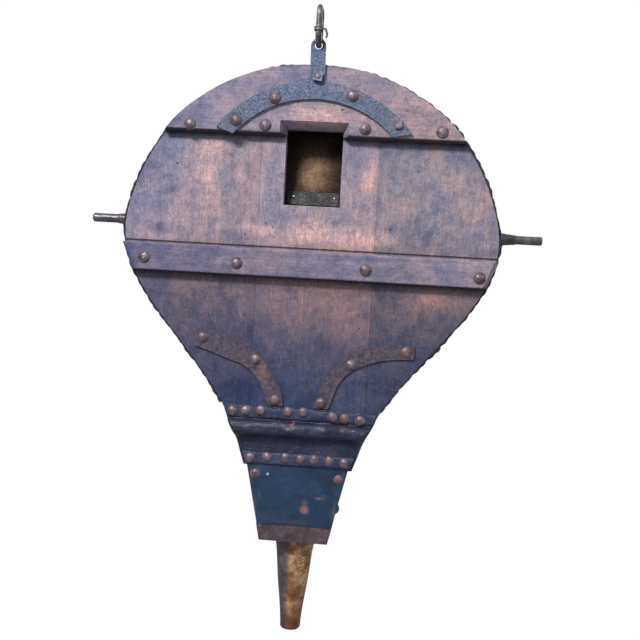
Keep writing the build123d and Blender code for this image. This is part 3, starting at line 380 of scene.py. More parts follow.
# batten: the thin pale line at z -60 is a painted highlight on its lit top edge; the dark bands at z -112 and z -96 and
# the edge band at z -111.5 are painted shade on its lower edge and lower half
wood_batten = wood("pump_batten_wood", [(0.0, lin(122, 116, 138)), (1.0, lin(130, 124, 146))], "x", 9.0,
                   [(60, -78, 200, 10, 0.4), (-160, -84, 60, 12, 0.5), (250, -70, 120, 10, 0.5), (-330, -95, 40, 16, 0.4),
                    (0, -60, 380, 4, 0.5)],
                   [(-370, -90, 26, 40, 0.5), (0, -112, 420, 7, 0.6), (0, -96, 420, 10, 0.2)], (),
                   [(-400, (0.55, 0.63, 0.76, 1)), (0, (0.82, 0.88, 0.92, 1)), (400, (1.06, 1.14, 1.08, 1))], blotch=0.8, under=((-111.5, -4.0),))
wood_top = wood("top_board_wood", [(0.0, lin(72, 76, 100)), (0.3, lin(104, 96, 110)), (0.7, lin(134, 124, 136)), (1.0, lin(132, 122, 136))],
                "z", 14.0, [(0, 40, 200, 50, 0.5), (-180, -160, 50, 100, 0.5), (200, 130, 60, 80, 0.4)],
                [(0, -350, 200, 110, 0.7), (-330, 40, 70, 140, 0.5), (330, 0, 60, 160, 0.5), (60, 60, 30, 30, 0.8)])
wood_top_x = wood("top_cleat_wood", [(0.0, lin(122, 112, 126)), (1.0, lin(136, 126, 138))], "x", 19.0,
                  [(0, 220, 200, 40, 0.4), (100, -80, 200, 12, 0.35)], [(-330, -90, 60, 30, 0.5)])
wood_inner = wood("inner_wood", [(0.0, lin(96, 76, 62)), (1.0, lin(128, 104, 84))], "z", 23.0)

iron_nail = iron("forged_nails", (lin(70, 56, 58), lin(112, 98, 106), lin(160, 150, 166)), lin(130, 88, 70), 0.45, 3.0,
                 metal=0.45, rough=(0.38, 0.62), pit=0.9, scale=1.6)
iron_blue = iron("pitted_iron", (lin(54, 64, 86), lin(84, 96, 120), lin(126, 134, 160)), lin(120, 88, 80), 0.22, 5.0,
                 metal=0.35, rough=(0.38, 0.62), pit=1.5, scale=4.6,
                 spots=[(0, 345, 40, 62, 0.6, lin(70, 88, 116)), (168, 205, 34, 30, 0.5, lin(150, 120, 108)), (-175, 195, 34, 26, 0.35, lin(96, 74, 72)),
                        (60, 262, 60, 16, 0.3, lin(160, 146, 150))])
iron_brown = iron("strap_iron", (lin(54, 50, 66), lin(84, 76, 92), lin(122, 106, 112)), lin(116, 84, 78), 0.35, 8.0,
                  metal=0.35, rough=(0.5, 0.75), pit=1.3, scale=3.4,
                  spots=[(-82, -310, 22, 40, 0.6, lin(152, 116, 104)), (-190, -250, 60, 18, 0.4, lin(92, 84, 104)),
                         (180, -256, 60, 12, 0.35, lin(104, 96, 110))])
iron_nozzle = iron("nozzle_iron", (lin(60, 50, 54), lin(92, 80, 86), lin(134, 118, 118)), lin(150, 104, 66), 0.35, 11.0,
                   metal=0.35, rough=(0.45, 0.75), pit=1.4, scale=0.9, speck=(24, -705, 34, 90, 0.95, lin(250, 218, 168)),
                   side=(-14.0, -2.0, (lin(60, 36, 24), lin(150, 100, 60), lin(246, 208, 150))),
                   spots=[(0, -840, 40, 34, 0.85, lin(76, 56, 52)), (20, -690, 26, 26, 0.6, lin(92, 70, 60)),
                          (12, -740, 14, 26, 0.55, lin(196, 164, 138)), (16, -800, 10, 20, 0.5, lin(176, 138, 108))])
iron_band = iron("end_band_iron", (lin(52, 42, 48), lin(84, 68, 76), lin(118, 102, 106)), lin(112, 76, 64), 0.35, 13.0,
                 metal=0.25, rough=(0.5, 0.75), pit=0.8)
iron_pin = iron("pin_iron", (lin(60, 56, 62), lin(104, 98, 104), lin(160, 156, 166)), lin(128, 88, 64), 0.4, 17.0,
                metal=0.6, rough=(0.34, 0.6), pit=1.0)
iron_ring = iron("ring_iron", (lin(44, 38, 40), lin(92, 84, 88), lin(158, 152, 160)), lin(110, 74, 58), 0.45, 19.0,
                 metal=0.55, rough=(0.36, 0.62), pit=1.2, scale=1.4)

BLUE_SPOTS = [(20, -588, 13, 12, 1.0, lin(176, 110, 82)), (48, -563, 10, 4, 0.9, lin(140, 104, 96)), (0, -615, 60, 7, 0.45, lin(92, 72, 64)),
              (58, -560, 12, 10, 0.5, lin(88, 84, 96)), (20, -575, 10, 14, 0.6, lin(104, 104, 116)),
              (-96, -530, 5, 40, 0.6, lin(104, 84, 76)), (-84, -590, 6, 34, 0.45, lin(110, 84, 70)),
              (96, -525, 5, 34, 0.6, lin(96, 86, 88)), (82, -590, 6, 34, 0.6, lin(100, 80, 72))]
leather_nose = leather("painted_nose_leather", (lin(20, 48, 74), lin(34, 64, 96), lin(52, 82, 114), lin(92, 96, 112)), 31.0,
                       crack=0.06, rough=(0.34, 0.58), spots=BLUE_SPOTS, fleck=0.5)
leather_hinge = leather("hinge_leather", (lin(20, 28, 50), lin(40, 48, 74), lin(62, 66, 94), lin(112, 92, 96)), 37.0,
                        crack=0.35, rough=(0.30, 0.55), fleck=0.4,
                        spots=[(-14, -412, 9, 4, 0.9, lin(170, 96, 60), 30.0), (-70, -400, 40, 8, 0.3, lin(110, 96, 100)),
                               (80, -405, 50, 8, 0.3, lin(104, 92, 98))])
leather_strip = leather("doubling_strip_leather", (lin(30, 42, 70), lin(52, 64, 96), lin(84, 90, 122), lin(120, 100, 104)), 41.0,
                        crack=0.5, rough=(0.36, 0.62), fleck=0.35)
leather_fold = leather("bellows_leather", (lin(28, 24, 26), lin(50, 42, 44), lin(78, 66, 64), lin(112, 92, 82)), 47.0,
                       crack=0.75, rough=(0.4, 0.72), fleck=0.4)
leather_edge = leather("edge_binding_leather", (lin(30, 28, 34), lin(50, 46, 56), lin(74, 68, 78), lin(118, 100, 96)), 53.0,
                       crack=0.7, rough=(0.4, 0.7), fleck=0.45)
def suede(name):
    """Brown suede facing: a painted pool of light in the middle and painted shade round the edge, crackled."""
    g = Graph(name)
    iso = g.scaled(1, 1, 1, (3.1, 1.7, 9.2))
    a_ = g.noise(iso, 26.0, 7, 0.75, 0.8)
    b_ = g.noise(iso, 120.0, 6, 0.75, 0.6)
    c_ = g.voronoi(g.scaled(1, 1, 1.3, (1, 2, 3)), 95.0, "DISTANCE_TO_EDGE")
    # painted light: a bright spot over the middle of the flap, fading to painted shade towards its edges, standing for
    # light coming in through the intake hole
    mid = g.spot(0, 112, 64, 100, soft=1.0)
    t_ = g.math("ADD", g.math("MULTIPLY", mid, 0.34), g.math("ADD", g.math("MULTIPLY", a_, 0.5), g.math("MULTIPLY", b_, 0.35)))
    col = g.ramp(t_, [(0.36, lin(26, 18, 14)), (0.50, lin(52, 39, 30)), (0.62, lin(86, 67, 51)), (0.74, lin(128, 104, 82)), (0.88, lin(176, 150, 120))])
    col = g.mix(g.math("MULTIPLY", g.span(c_, 0.08, 0.0, 0.0, 0.6), g.span(b_, 0.42, 0.6)), col, lin(24, 17, 13))
    h_ = g.math("ADD", g.math("MULTIPLY", a_, 0.6), g.math("MULTIPLY", b_, 0.5))
    h_ = g.math("SUBTRACT", h_, g.math("MULTIPLY", g.span(c_, 0.12, 0.0), 0.15))
    return g.finish(col, 0.86, g.bump(h_, 0.003, 0.9), 0.0, 0.2, 0.2)


leather_valve = suede("valve_leather")
leather_tongue = leather("valve_hinge_leather", (lin(26, 28, 28), lin(48, 50, 50), lin(70, 70, 68), lin(96, 92, 84)), 61.0,
                         crack=0.4, rough=(0.4, 0.66), fleck=0.3)


def dress(names, mat):
    for n in names:
        o = nodes[n]
        o.data.materials.clear()
        o.data.materials.append(mat)


dress(["pump_plank_left", "pump_plank_centre", "pump_plank_right"], wood_pump)
dress(["pump_tail_cleat"], wood_cleat)
dress(["pump_cross_batten"], wood_batten)
dress(["top_plank_left", "top_plank_centre", "top_plank_right"], wood_top)
dress(["top_tail_cleat", "top_cross_batten"], wood_top_x)
dress(["middle_plank_left", "middle_plank_centre", "middle_plank_right", "nose_block", "front_rib_inner",
       "front_rib_outer", "back_rib_inner", "back_rib_outer", "inlet_flap_board", "delivery_flap_board"], wood_inner)
dress(["pump_dome_nails", "arc_strap_nails", "pump_hinge_nails", "pump_edge_nails", "top_dome_nails", "top_edge_nails",
       "top_hinge_nails", "middle_edge_nails", "nose_row_nails", "nose_cover_nails"], iron_nail)
dress(["lift_bracket", "bracket_bolt", "bracket_nut", "broken_bolt_stub"], iron_blue)
iron_nut = iron("nut_iron", (lin(72, 70, 80), lin(118, 116, 130), lin(172, 168, 180)), lin(116, 84, 72), 0.35, 23.0, metal=0.4, pit=1.1, scale=2.0)
dress(["bracket_bolt", "bracket_nut", "broken_bolt_stub"], iron_nut)
dress(["arc_strap_left", "arc_strap_right"], iron_brown)
dress(["nozzle"], iron_nozzle)
dress(["nose_end_band", "nose_band_tacks"], iron_band)
dress(["trunnion_left", "trunnion_right"], iron_pin)
dress(["ring_link", "wire_tie"], iron_ring)
dress(["nose_cover"], leather_nose)
dress(["inlet_stop_strap", "delivery_stop_strap", "delivery_flap_leather", "inlet_flap_leather"], leather_valve)
dress(["inlet_hinge_strip"], leather_tongue)
dress(["front_hinge_leather", "back_hinge_leather"], leather_hinge)
dress(["pump_hinge_strip", "top_hinge_strip", "front_nose_strip", "back_nose_strip"], leather_strip)
dress(["pump_edge_strip", "top_edge_strip", "middle_edge_strip"], leather_edge)
dress(["front_skirt", "back_skirt"], leather_fold)

# ============================================================ geometry in mm
HINGE_Y, HINGE_Z = 60.0, -419.0
RIM = [(148, 12), (165, 44), (186, 78), (211, 111), (238, 144.5), (265, 177.3), (293, 211), (319.5, 244),
       (341.5, 277), (360, 309), (373.5, 341), (380, 373), (381.5, 405), (376.5, 438), (367, 471), (355.5, 503),
       (341, 535), (322.5, 567), (300.5, 599), (272.5, 630.5), (233.5, 662), (182, 693.7), (145, 709.5),
       (98, 724.5), (50, 732.3), (0, 734.5)]
BIND_T = 2.4
NAIL_STEP = 41.0


def rim_points(off, extra=()):
    pts = [(float(x), float(s)) for x, s in (list(extra) + RIM)]
    pts = pts + [(-x, s) for x, s in reversed(pts[:-1])]
    out = []
    for i, (x, s) in enumerate(pts):
        x0, s0 = pts[max(i - 1, 0)]
        x1, s1 = pts[min(i + 1, len(pts) - 1)]
        dx, ds = x1 - x0, s1 - s0
        m = math.hypot(dx, ds)
        out.append((x + off * ds / m, s - off * dx / m))
    return out


def nail_stations(low):
    """Arc length, in mm, of every rim nail and of the whole run, as the CAD lays them out."""
    pts = [p for p in rim_points(BIND_T) if p[1] >= low]
    cum = [0.0]
    for a, b in zip(pts, pts[1:]):
        cum.append(cum[-1] + math.hypot(b[0] - a[0], b[1] - a[1]))
    n = int(round((cum[-1] - 24.0) / NAIL_STEP))
    return pts, cum, n


def smooth_line(pts, step):
    """Catmull-Rom through pts, sampled about every step mm: (x, s, nx, ns, length so far)."""
    res = []
    P = [pts[0]] + pts + [pts[-1]]
    for i in range(1, len(P) - 2):
        p0, p1, p2, p3 = P[i - 1], P[i], P[i + 1], P[i + 2]
        k = max(1, int(math.hypot(p2[0] - p1[0], p2[1] - p1[1]) / step))
        for j in range(k):
            t = j / k
            q = []
            for c in (0, 1):
                q.append(0.5 * (2 * p1[c] + (-p0[c] + p2[c]) * t + (2 * p0[c] - 5 * p1[c] + 4 * p2[c] - p3[c]) * t * t
                                + (-p0[c] + 3 * p1[c] - 3 * p2[c] + p3[c]) * t ** 3))
            res.append(tuple(q))
    res.append(pts[-1])
    out, L = [], 0.0
    for i, (x, s) in enumerate(res):
        x0, s0 = res[max(i - 1, 0)]
        x1, s1 = res[min(i + 1, len(res) - 1)]
        m = math.hypot(x1 - x0, s1 - s0) or 1.0
        if i:
            L += math.hypot(x - res[i - 1][0], s - res[i - 1][1])
        out.append((x, s, (s1 - s0) / m, -(x1 - x0) / m, L))
    return out


def place(side, deg, x, s, h):
    """Point of a plane swung deg from parallel about the front (-1) or back (+1) hinge line."""
    a = math.radians(deg)
    return Vector((x * MM, side * (HINGE_Y + s * math.sin(a) + h * math.cos(a)) * MM,
                   (HINGE_Z + s * math.cos(a) - h * math.sin(a)) * MM))


def grid_mesh(name, rows, mat, closed=False):
    """Quad sheet from equal-length rows of points."""
    me = bpy.data.meshes.new(name)
    verts = [p for r in rows for p in r]
    w = len(rows[0])
    faces = []
    for i in range(len(rows) - 1):
        for j in range(w - 1 if not closed else w):
            a, b = i * w + j, i * w + (j + 1) % w
            faces.append((a, b, b + w, a + w))
    me.from_pydata(verts, [], faces)
    me.materials.append(mat)
    for p in me.polygons:
        p.use_smooth = True
    ob = bpy.data.objects.new(name, me)
    scene.collection.objects.link(ob)
    return ob


def thicken(ob, t, offset=-1.0):
    m = ob.modifiers.new("thickness", "SOLIDIFY")
    m.thickness = t * MM
    m.offset = offset
    m.use_even_offset = False
    return ob


def apply_all(ob):
    dg = bpy.context.evaluated_depsgraph_get()
    me = bpy.data.meshes.new_from_object(ob.evaluated_get(dg))
    ob.modifiers.clear()
    ob.data = me
    return ob


def outward(ob):
    bm = bmesh.new()
    bm.from_mesh(ob.data)
    bmesh.ops.recalc_face_normals(bm, faces=bm.faces)
    bm.to_mesh(ob.data)
    bm.free()
    return ob


# ------------------------------------------------------------ pleated skirts
FOLD_LOW = [(121, -34), (124, -18), (133, -3)]


def pleats(name, side, rest, node, body):
    """Leather between the middle board and a swung board: folded in between the hoops."""
    line = smooth_line(rim_points(0.0, FOLD_LOW), 7.0)
    closed_h = [-42.0, -36.5, -24.5, -19.0]
    _, cum, n = nail_stations(44.0)
    rows = []
    weights = []
    STEPS = 42
    for (x, s, nx, ns, L) in line:
        row = []
        depth = max(3.0, 0.056 * s) if s > 0 else 3.0
        nailness = 0.5 - 0.5 * math.cos(2 * math.pi * L / NAIL_STEP)
        for j in range(STEPS + 1):
            t = 3.0 * j / STEPS
            k = min(int(t), 2)
            h = closed_h[k] + (closed_h[k + 1] - closed_h[k]) * (t - k)
            width = abs(closed_h[k + 1] - closed_h[k]) + max(s, 0.0) * math.sin(math.radians(rest / 3.0))
            d = min(t - k, 1 - (t - k)) * width
            g_ = min(1.0, max(0.0, (d - 3.7) / max(width / 2 - 3.7, 1.0)))
            f = math.sin(math.pi / 2 * g_) ** 0.75
            p = Vector((x * 0.011, s * 0.011, t * 0.9 + side * 5))
            wob = noise.noise(p) * 0.35 + noise.noise(p * 3.1) * 0.2
            r = 1.0 - depth * f * (1.0 + wob) + 0.9 * (1 - f) * noise.noise(Vector((L * 0.03, t * 3.0, 2.0)))
            edge = math.exp(-(min(t, 3 - t) / 0.12) ** 2)
            r += edge * nailness * 1.4
            r += (1 - f) * 0.7 * abs(noise.noise(p * 6.0 + Vector((3, 1, 7))))
            along = 6.0 * f * noise.noise(p * 1.7 + Vector((9, 2, 4)))
            deg = rest * t / 3.0 + 0.25 * f * noise.noise(p * 2.3)
            hh = h + (1.2 if s < 60 else 2.2) * f * noise.noise(p * 2.9 + Vector((1, 8, 3)))
            row.append(place(side, deg, x + nx * r - ns * along * 0.3, s + ns * r + nx * along * 0.3, hh))
            weights.append(t / 3.0)
        rows.append(row)
    ob = grid_mesh(name, rows, leather_fold)
    me = ob.data
    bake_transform(ob, "middle", body, start=(0, side * 0.018, 0), end=(0, side * 0.06, 0))
    att = me.attributes["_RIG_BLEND"]
    for i, w in enumerate(weights):
        att.data[i].value = w
    thicken(ob, 1.6, 0.0)
    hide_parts(node)
    return ob


front_pleats = pleats("front_bellows_leather", -1, 5.0, "front_skirt", "pump_board")
back_pleats = pleats("back_bellows_leather", 1, 8.0, "back_skirt", "top_board")


# ------------------------------------------------------------ edge bindings
def binding(name, side, rest, h_lo, h_hi, node, body, mat, skip=None):
    """Leather wrapped on a board's edge, pinched in at each nail and puffed between them."""
    _, cum, n = nail_stations(44.0)
    line = [q for q in smooth_line([p for p in rim_points(BIND_T) if p[1] >= 11.0], 5.0) if q[1] >= 25.0]
    first = next(q[4] for q in line if q[1] >= 44.0)
    total = cum[-1]
    last = [q[4] for q in line if q[1] >= 44.0][-1]
    fit = total / (last - first)
    rows = []
    for (x, s, nx, ns, L) in line:
        x0, s0 = x - nx * BIND_T, s - ns * BIND_T
        k = ((L - first) * fit - 12.0) / ((total - 24.0) / n)
        puff = (0.5 * abs(math.sin(math.pi * k)) ** 0.6
                + 0.75 * abs(math.sin(2 * math.pi * k)) ** 0.7 * (0.8 + 0.9 * noise.noise(Vector((L * 0.02, 4.0, rest)))))
        row = []
        for j in range(13):
            u = j / 12.0
            h = h_lo + (h_hi - h_lo) * u
            belly = math.sin(math.pi * u) ** 0.38 if 0 < u < 1 else 0.0
            p = Vector((x * 0.02, s * 0.02, u * 1.3 + side * 3 + rest))
            r = 0.45 + belly * (0.6 + 5.2 * puff * min(1.0, max(0.0, (s - 26.0) / 34.0)) * (0.8 + 0.6 * noise.noise(p)))
            r += 0.35 * noise.noise(p * 5.0)
            lip = 1.6 * puff * (1 if u > 0.99 else (-1 if u < 0.01 else 0))
            row.append(place(side, rest, x0 + nx * max(r, 0.25), s0 + ns * max(r, 0.25), h + lip * 0.5)
                       if side else Vector(((x0 + nx * max(r, 0.25)) * MM, -h * MM, (HINGE_Z + s0 + ns * max(r, 0.25)) * MM)))
        rows.append(row)
    ob = grid_mesh(name, rows, mat)
    thicken(ob, 1.4, -1.0 if side <= 0 else 1.0)
    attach(ob, body)
    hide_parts(node)
    return ob


binding("pump_edge_binding", -1, 5.0, -18.9, 5.9, "pump_edge_strip", "pump_board", leather_edge)
binding("top_edge_binding", 1, 8.0, -18.9, 5.9, "top_edge_strip", "top_board", leather_edge)
binding("middle_edge_binding", 0, 0.0, -17.8, 17.8, "middle_edge_strip", "middle", leather_edge)


# ------------------------------------------------------------ hinge leathers
FRONT_ROW = [(-140.5, 28), (-113, 30), (-82, 32), (-25, 33), (7.6, 34), (67, 28), (93.4, 27), (124.7, 24)]
BACK_ROW = [(136, 27), (98, 29), (60, 28), (20, 27), (-21, 28), (-62, 29), (-99, 27), (-137, 28)]
FRONT_NOSE = [(-99.6, -487), (-63, -484), (-26, -484), (5.5, -483.6), (35.4, -483), (66, -483), (97.6, -486)]
BACK_NOSE = [(97, -486), (64, -485), (33, -484), (0, -485), (-32, -484), (-65, -486), (-98, -485)]


def hinge_half(z):
    table = [(-372, 162), (-390, 155.5), (-407, 149), (-431, 135), (-452, 127), (-474, 120), (-503, 110)]
    for (za, wa), (zb, wb) in zip(table, table[1:]):
        if z >= zb:
            return wa + (wb - wa) * (z - za) / (zb - za)
    return table[-1][1]


def hinge_roll(name, side, deg, node, body, row):
    """Sheet nailed to the board's end, rolled proud over the hinge gap, nailed to the nose."""
    a = math.radians(deg)

    def on_board(s, h):
        return (HINGE_Y + s * math.sin(a) + h * math.cos(a), HINGE_Z + s * math.cos(a) - h * math.sin(a))
    prof = [on_board(41, 7.2), on_board(34, 7.4), on_board(26, 7.6), on_board(18, 7.8), on_board(12, 9.0),
            (HINGE_Y + 18.0, -410.5), (HINGE_Y + 23.5, -416.5), (HINGE_Y + 25.4, -424), (HINGE_Y + 24.0, -431.5),
            (HINGE_Y + 16.5, -438.0), (HINGE_Y + 8.5, -443), (HINGE_Y + 4.0, -449.5), (HINGE_Y + 2.2, -459),
            (HINGE_Y + 1.8, -480), (HINGE_Y + 1.8, -492), (HINGE_Y + 1.8, -502)]
    fine = smooth_line(prof, 2.2)
    rows = []
    NU = 120
    zmin, zmax = prof[-1][1], prof[0][1]
    for (yy, zz, ny, nz, L) in fine:
        hw = hinge_half(zz)
        roll = math.exp(-((zz + 425.0) / 17.0) ** 2)
        r = []
        for j in range(NU + 1):
            u = -1 + 2 * j / NU
            # front face, then wrapped round the side over the last tenth
            if abs(u) <= 0.9:
                x, back, n_side = u / 0.9 * (hw - 2.0), 0.0, 0.0
            else:
                e = (abs(u) - 0.9) / 0.1
                back = 24.0 * e
                x = math.copysign(hw + 1.8 - 3.0 * (1 - min(1, e * 6)) ** 2 * 0.6, u)
                n_side = min(1.0, e * 5)
            p = Vector((x * 0.024, zz * 0.03, side * 4.0))
            wave = noise.noise(p * 1.2) * 3.2 + noise.noise(p * 2.9) * 1.6 + noise.noise(p * 7.0) * 0.6
            sag = roll * (wave + 1.6 * math.sin(x * 0.052 + 0.8) + 1.2 * math.sin(x * 0.11 + 2.0))
            crease = roll * 1.4 * max(0.0, noise.noise(Vector((x * 0.09, zz * 0.012, 2.0 + side))))
            out = (sag - crease) * (1 - n_side * 0.7) + 0.25 * noise.noise(p * 9.0)
            y = yy + ny * 0.0 + out - back
            z = zz + roll * 1.8 * noise.noise(Vector((x * 0.03, 1.7, side * 2.0)))
            r.append(Vector((x * MM, side * y * MM, z * MM)))
        rows.append(r)
    ob = grid_mesh(name, rows, leather_hinge)
    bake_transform(ob, "middle", body, start=(0, side * 0.066, -0.452), end=(0, side * 0.070, -0.409))
    thicken(ob, 2.2, 0.0)
    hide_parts(node)
    return ob


hinge_roll("front_hinge_roll", -1, 5.0, "front_hinge_leather", "pump_board", FRONT_ROW)
hinge_roll("back_hinge_roll", 1, 8.0, "back_hinge_leather", "top_board", BACK_ROW)


def welt(name, side, frame_of, body, node, lo, hi, half, nails, tall=1.0):
    """Doubling strip under a nail row: pressed down at each nail, swollen between."""
    rows = []
    for i in range(15):
        v = i / 14.0
        s = lo + (hi - lo) * v
        r = []
        w = half(s)
        for j in range(151):
            x = -w + 2 * w * j / 150.0
            d = min((math.hypot(x - nx_, s - ns_) for nx_, ns_ in nails), default=99)
            swell = 1 - math.exp(-(d / 15.0) ** 2)
            across = math.sin(math.pi * v) ** 0.45 if 0 < v < 1 else 0.0
            p = Vector((x * 0.05, s * 0.06, side + 2.0))
            hgt = 0.6 + across * (1.3 + 2.1 * swell * tall) + 0.5 * noise.noise(p) * across
            near = max(0.0, 1 - abs(d) / 26.0)
            ds = (v - 0.5) * 2.0 * (-2.4 * (1 - near) + 1.0 * noise.noise(Vector((x * 0.045, side * 3.0, 5.0)))) * 1.0
            r.append(frame_of(x, s + ds, hgt))
        rows.append(r)
    ob = grid_mesh(name, rows, leather_strip)
    thicken(ob, 1.2, 0.0)
    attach(ob, body)
    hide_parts(node)
    return ob


welt("pump_hinge_welt", -1, lambda x, s, h: place(-1, 5.0, x, s, 9.3 + h), "pump_board", "pump_hinge_strip", 14, 41,
     lambda s: 150 + (s - 14) * 0.34, FRONT_ROW)
welt("top_hinge_welt", 1, lambda x, s, h: place(1, 8.0, x, s, 9.3 + h), "top_board", "top_hinge_strip", 14, 41,
     lambda s: 150 + (s - 14) * 0.34, BACK_ROW)
welt("front_nose_welt", -1, lambda x, s, h: Vector((x * MM, -(63.0 + h) * MM, s * MM)), "middle", "front_nose_strip",
     -500, -473, lambda s: 117 + (s + 473) * 0.3, FRONT_NOSE)
welt("back_nose_welt", 1, lambda x, s, h: Vector((x * MM, (63.0 + h) * MM, s * MM)), "middle", "back_nose_strip",
     -500, -473, lambda s: 117 + (s + 473) * 0.3, BACK_NOSE)


def gusset(name, side):
    """End of the bellows leather laid over the nose block's side, puckered where it turns up between the boards."""
    rows = []
    N = 40
    for i in range(N + 1):
        v = i / N
        z = -501.0 + 128.0 * v
        lift = min(1.0, max(0.0, (z + 421.0) / 34.0))
        lift = lift * lift * (3 - 2 * lift)
        wide = 57.0 + 7.0 * math.exp(-((z + 428.0) / 16.0) ** 2)
        half = wide - (wide - 30.0) * lift
        if z < -419:
            w = hinge_half(z) if z > -474 else 120 + (z + 474) * 0.36
        else:
            w = 141 + (z + 419) * 0.62
        r = []
        for j in range(49):
            u = -1 + 2 * j / 48.0
            y = half * u
            p = Vector((y * 0.04, z * 0.03, side * 5.0))
            fold = lift * 2.5 * max(0.0, math.cos(u * math.pi * 2.0)) ** 2
            roll = 3.0 * math.exp(-((z + 436) / 14.0) ** 2) * (1 - u * u)
            x = w - 2.2 + 0.9 + roll + fold * (0.5 + 0.5 * noise.noise(p)) + 1.3 * noise.noise(p * 2.0) * (1 - abs(u) ** 6)
            r.append(Vector((side * x * MM, y * MM, z * MM)))
        rows.append(r)
    ob = grid_mesh(name, rows, leather_hinge)
    thicken(ob, 2.0, 0.0)
    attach(ob, "middle")


gusset("nose_side_leather_left", -1)
gusset("nose_side_leather_right", 1)

# ------------------------------------------------------------ intake valve
def flap_frame(side_open, origin, lean):
    a = math.radians(lean)
    n = Vector((0, -math.cos(a), -math.sin(a)))
    up = Vector((0, -math.sin(a), math.cos(a)))
    return lambda x, y, h: origin + (Vector((x, 0, 0)) + up * y + n * h) * MM


inlet_o = place(-1, 5.0, 0, 450.0, -21.0)
inl = flap_frame(1, inlet_o, 5.0 - 17.0)
rows = []
for i in range(61):
    y = 1.5 + 163.5 * i / 60.0
    r = []
    for j in range(49):
        u = -1 + 2 * j / 48.0
        x = u * (65.5 - 1.6 * max(0.0, (i - 54) / 6.0) ** 2 * (abs(u) ** 6) * 6)
        p = Vector((x * 0.03, y * 0.026, 11.0))
        bulge = 1.6 * noise.noise(p) + 0.9 * noise.noise(p * 2.7) + 0.35 * noise.noise(p * 8.0)
        edge = 1.0 - max(abs(u), abs(2 * i / 60.0 - 1)) ** 10
        curl = -2.2 * max(0.0, (i - 50) / 10.0) ** 2 * (0.6 + 0.4 * math.cos(x * 0.05))
        h = 0.2 + edge * (0.6 + max(-1.0, bulge)) + curl * 0.4
        r.append(inl(x, y, min(max(h, -1.2), 1.1)))
    rows.append(r)
ob = grid_mesh("valve_facing_leather", rows, leather_valve)
thicken(ob, 1.0, 0.0)
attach(ob, "inlet_flap")
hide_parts("inlet_flap_leather")

rows = []
for i in range(25):
    y = 9.0 + 29.0 * i / 24.0
    r = []
    for j in range(49):
        x = -55 + 110 * j / 48.0
        p = Vector((x * 0.05, y * 0.05, 21.0))
        h = 2.3 + 0.7 * noise.noise(p) + 0.4 * noise.noise(p * 3.0)
        top = 1.2 * noise.noise(Vector((x * 0.06, 3.0, 4.0))) if i == 24 else 0.0
        r.append(inl(x, y + top, h))
    rows.append(r)
ob = grid_mesh("valve_hinge_tongue", rows, leather_tongue)
thicken(ob, 1.2, 0.0)
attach(ob, "inlet_flap")
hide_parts("inlet_hinge_strip")

tack_mat = iron("bright_tack", (lin(120, 116, 110), lin(186, 182, 174), lin(240, 238, 230)), lin(140, 100, 80), 0.2, 71.0,
                metal=0.3, rough=(0.4, 0.6), pit=0.3)


def tack(name, point, normal, radius, height, body, mat):
    """Small domed tack head."""
    bm = bmesh.new()
    rings = 6
    seg = 20
    n = normal.normalized()
    t = n.orthogonal().normalized()
    b = n.cross(t)
    vs = []
    for i in range(rings):
        f = i / rings
        rr = radius * math.cos(f * math.pi / 2) ** 0.8
        hh = height * math.sin(f * math.pi / 2)
        vs.append([bm.verts.new(point + (t * math.cos(2 * math.pi * k / seg) + b * math.sin(2 * math.pi * k / seg)) * rr * MM
                                + n * hh * MM) for k in range(seg)])
    top = bm.verts.new(point + n * height * MM)
    for i in range(rings - 1):
        for k in range(seg):
            bm.faces.new((vs[i][k], vs[i][(k + 1) % seg], vs[i + 1][(k + 1) % seg], vs[i + 1][k]))
    for k in range(seg):
        bm.faces.new((vs[-1][k], vs[-1][(k + 1) % seg], top))
    bm.faces.new(list(reversed(vs[0])))
    me = bpy.data.meshes.new(name)
    bmesh.ops.recalc_face_normals(bm, faces=bm.faces)
    bm.to_mesh(me)
    bm.free()
    for p in me.polygons:
        p.use_smooth = len(p.vertices) < 10
    me.materials.append(mat)
    o = bpy.data.objects.new(name, me)
    scene.collection.objects.link(o)
    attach(o, body)
    return o


n_in = (inl(0, 0, 1) - inl(0, 0, 0)).normalized()
tack("valve_tack_left", inl(-40, 27, 3.6), n_in, 2.2, 1.3, "inlet_flap", tack_mat)
tack("valve_tack_right", inl(44, 26, 3.6), n_in, 1.8, 1.1, "inlet_flap", tack_mat)
tack("nose_white_tack", Vector((-0.0606, -0.0626, -0.520)), Vector((0, -1, 0)), 3.0, 1.0, "middle", tack_mat)

# ------------------------------------------------------------ nozzle lap seam
def nozzle_r(z):
    table = [(-657, 44), (-667, 41.4), (-677, 40), (-710, 36.5), (-744, 32.8), (-790, 26.6), (-827, 22.6), (-845, 21.3), (-854, 19.0)]
    for (za, ra), (zb, rb) in zip(table, table[1:]):
        if z >= zb:
            return ra + (rb - ra) * (z - za) / (zb - za)
    return table[-1][1]


rows = []
for i in range(80):
    z = -659.0 - 190.0 * i / 79.0
    r = []
    for j in range(9):
        u = -1 + 2 * j / 8.0
        w = (2.6 + 0.8 * noise.noise(Vector((z * 0.03, 1, 2)))) * u
        az = math.radians(-24.0 + 2.0 * noise.noise(Vector((z * 0.02, 5, 2)))) + w / nozzle_r(z)
        rise = 0.15 + 1.25 * max(0.0, 1 - abs(u)) ** 0.6 * (0.8 + 0.5 * noise.noise(Vector((z * 0.09, 3, u))))
        rr = nozzle_r(z) - 0.5 + rise
        r.append(Vector((math.sin(az) * rr * MM, -math.cos(az) * rr * MM, z * MM)))
    rows.append(r)
ob = grid_mesh("nozzle_lap_seam", rows, iron_nozzle)
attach(ob, "middle")

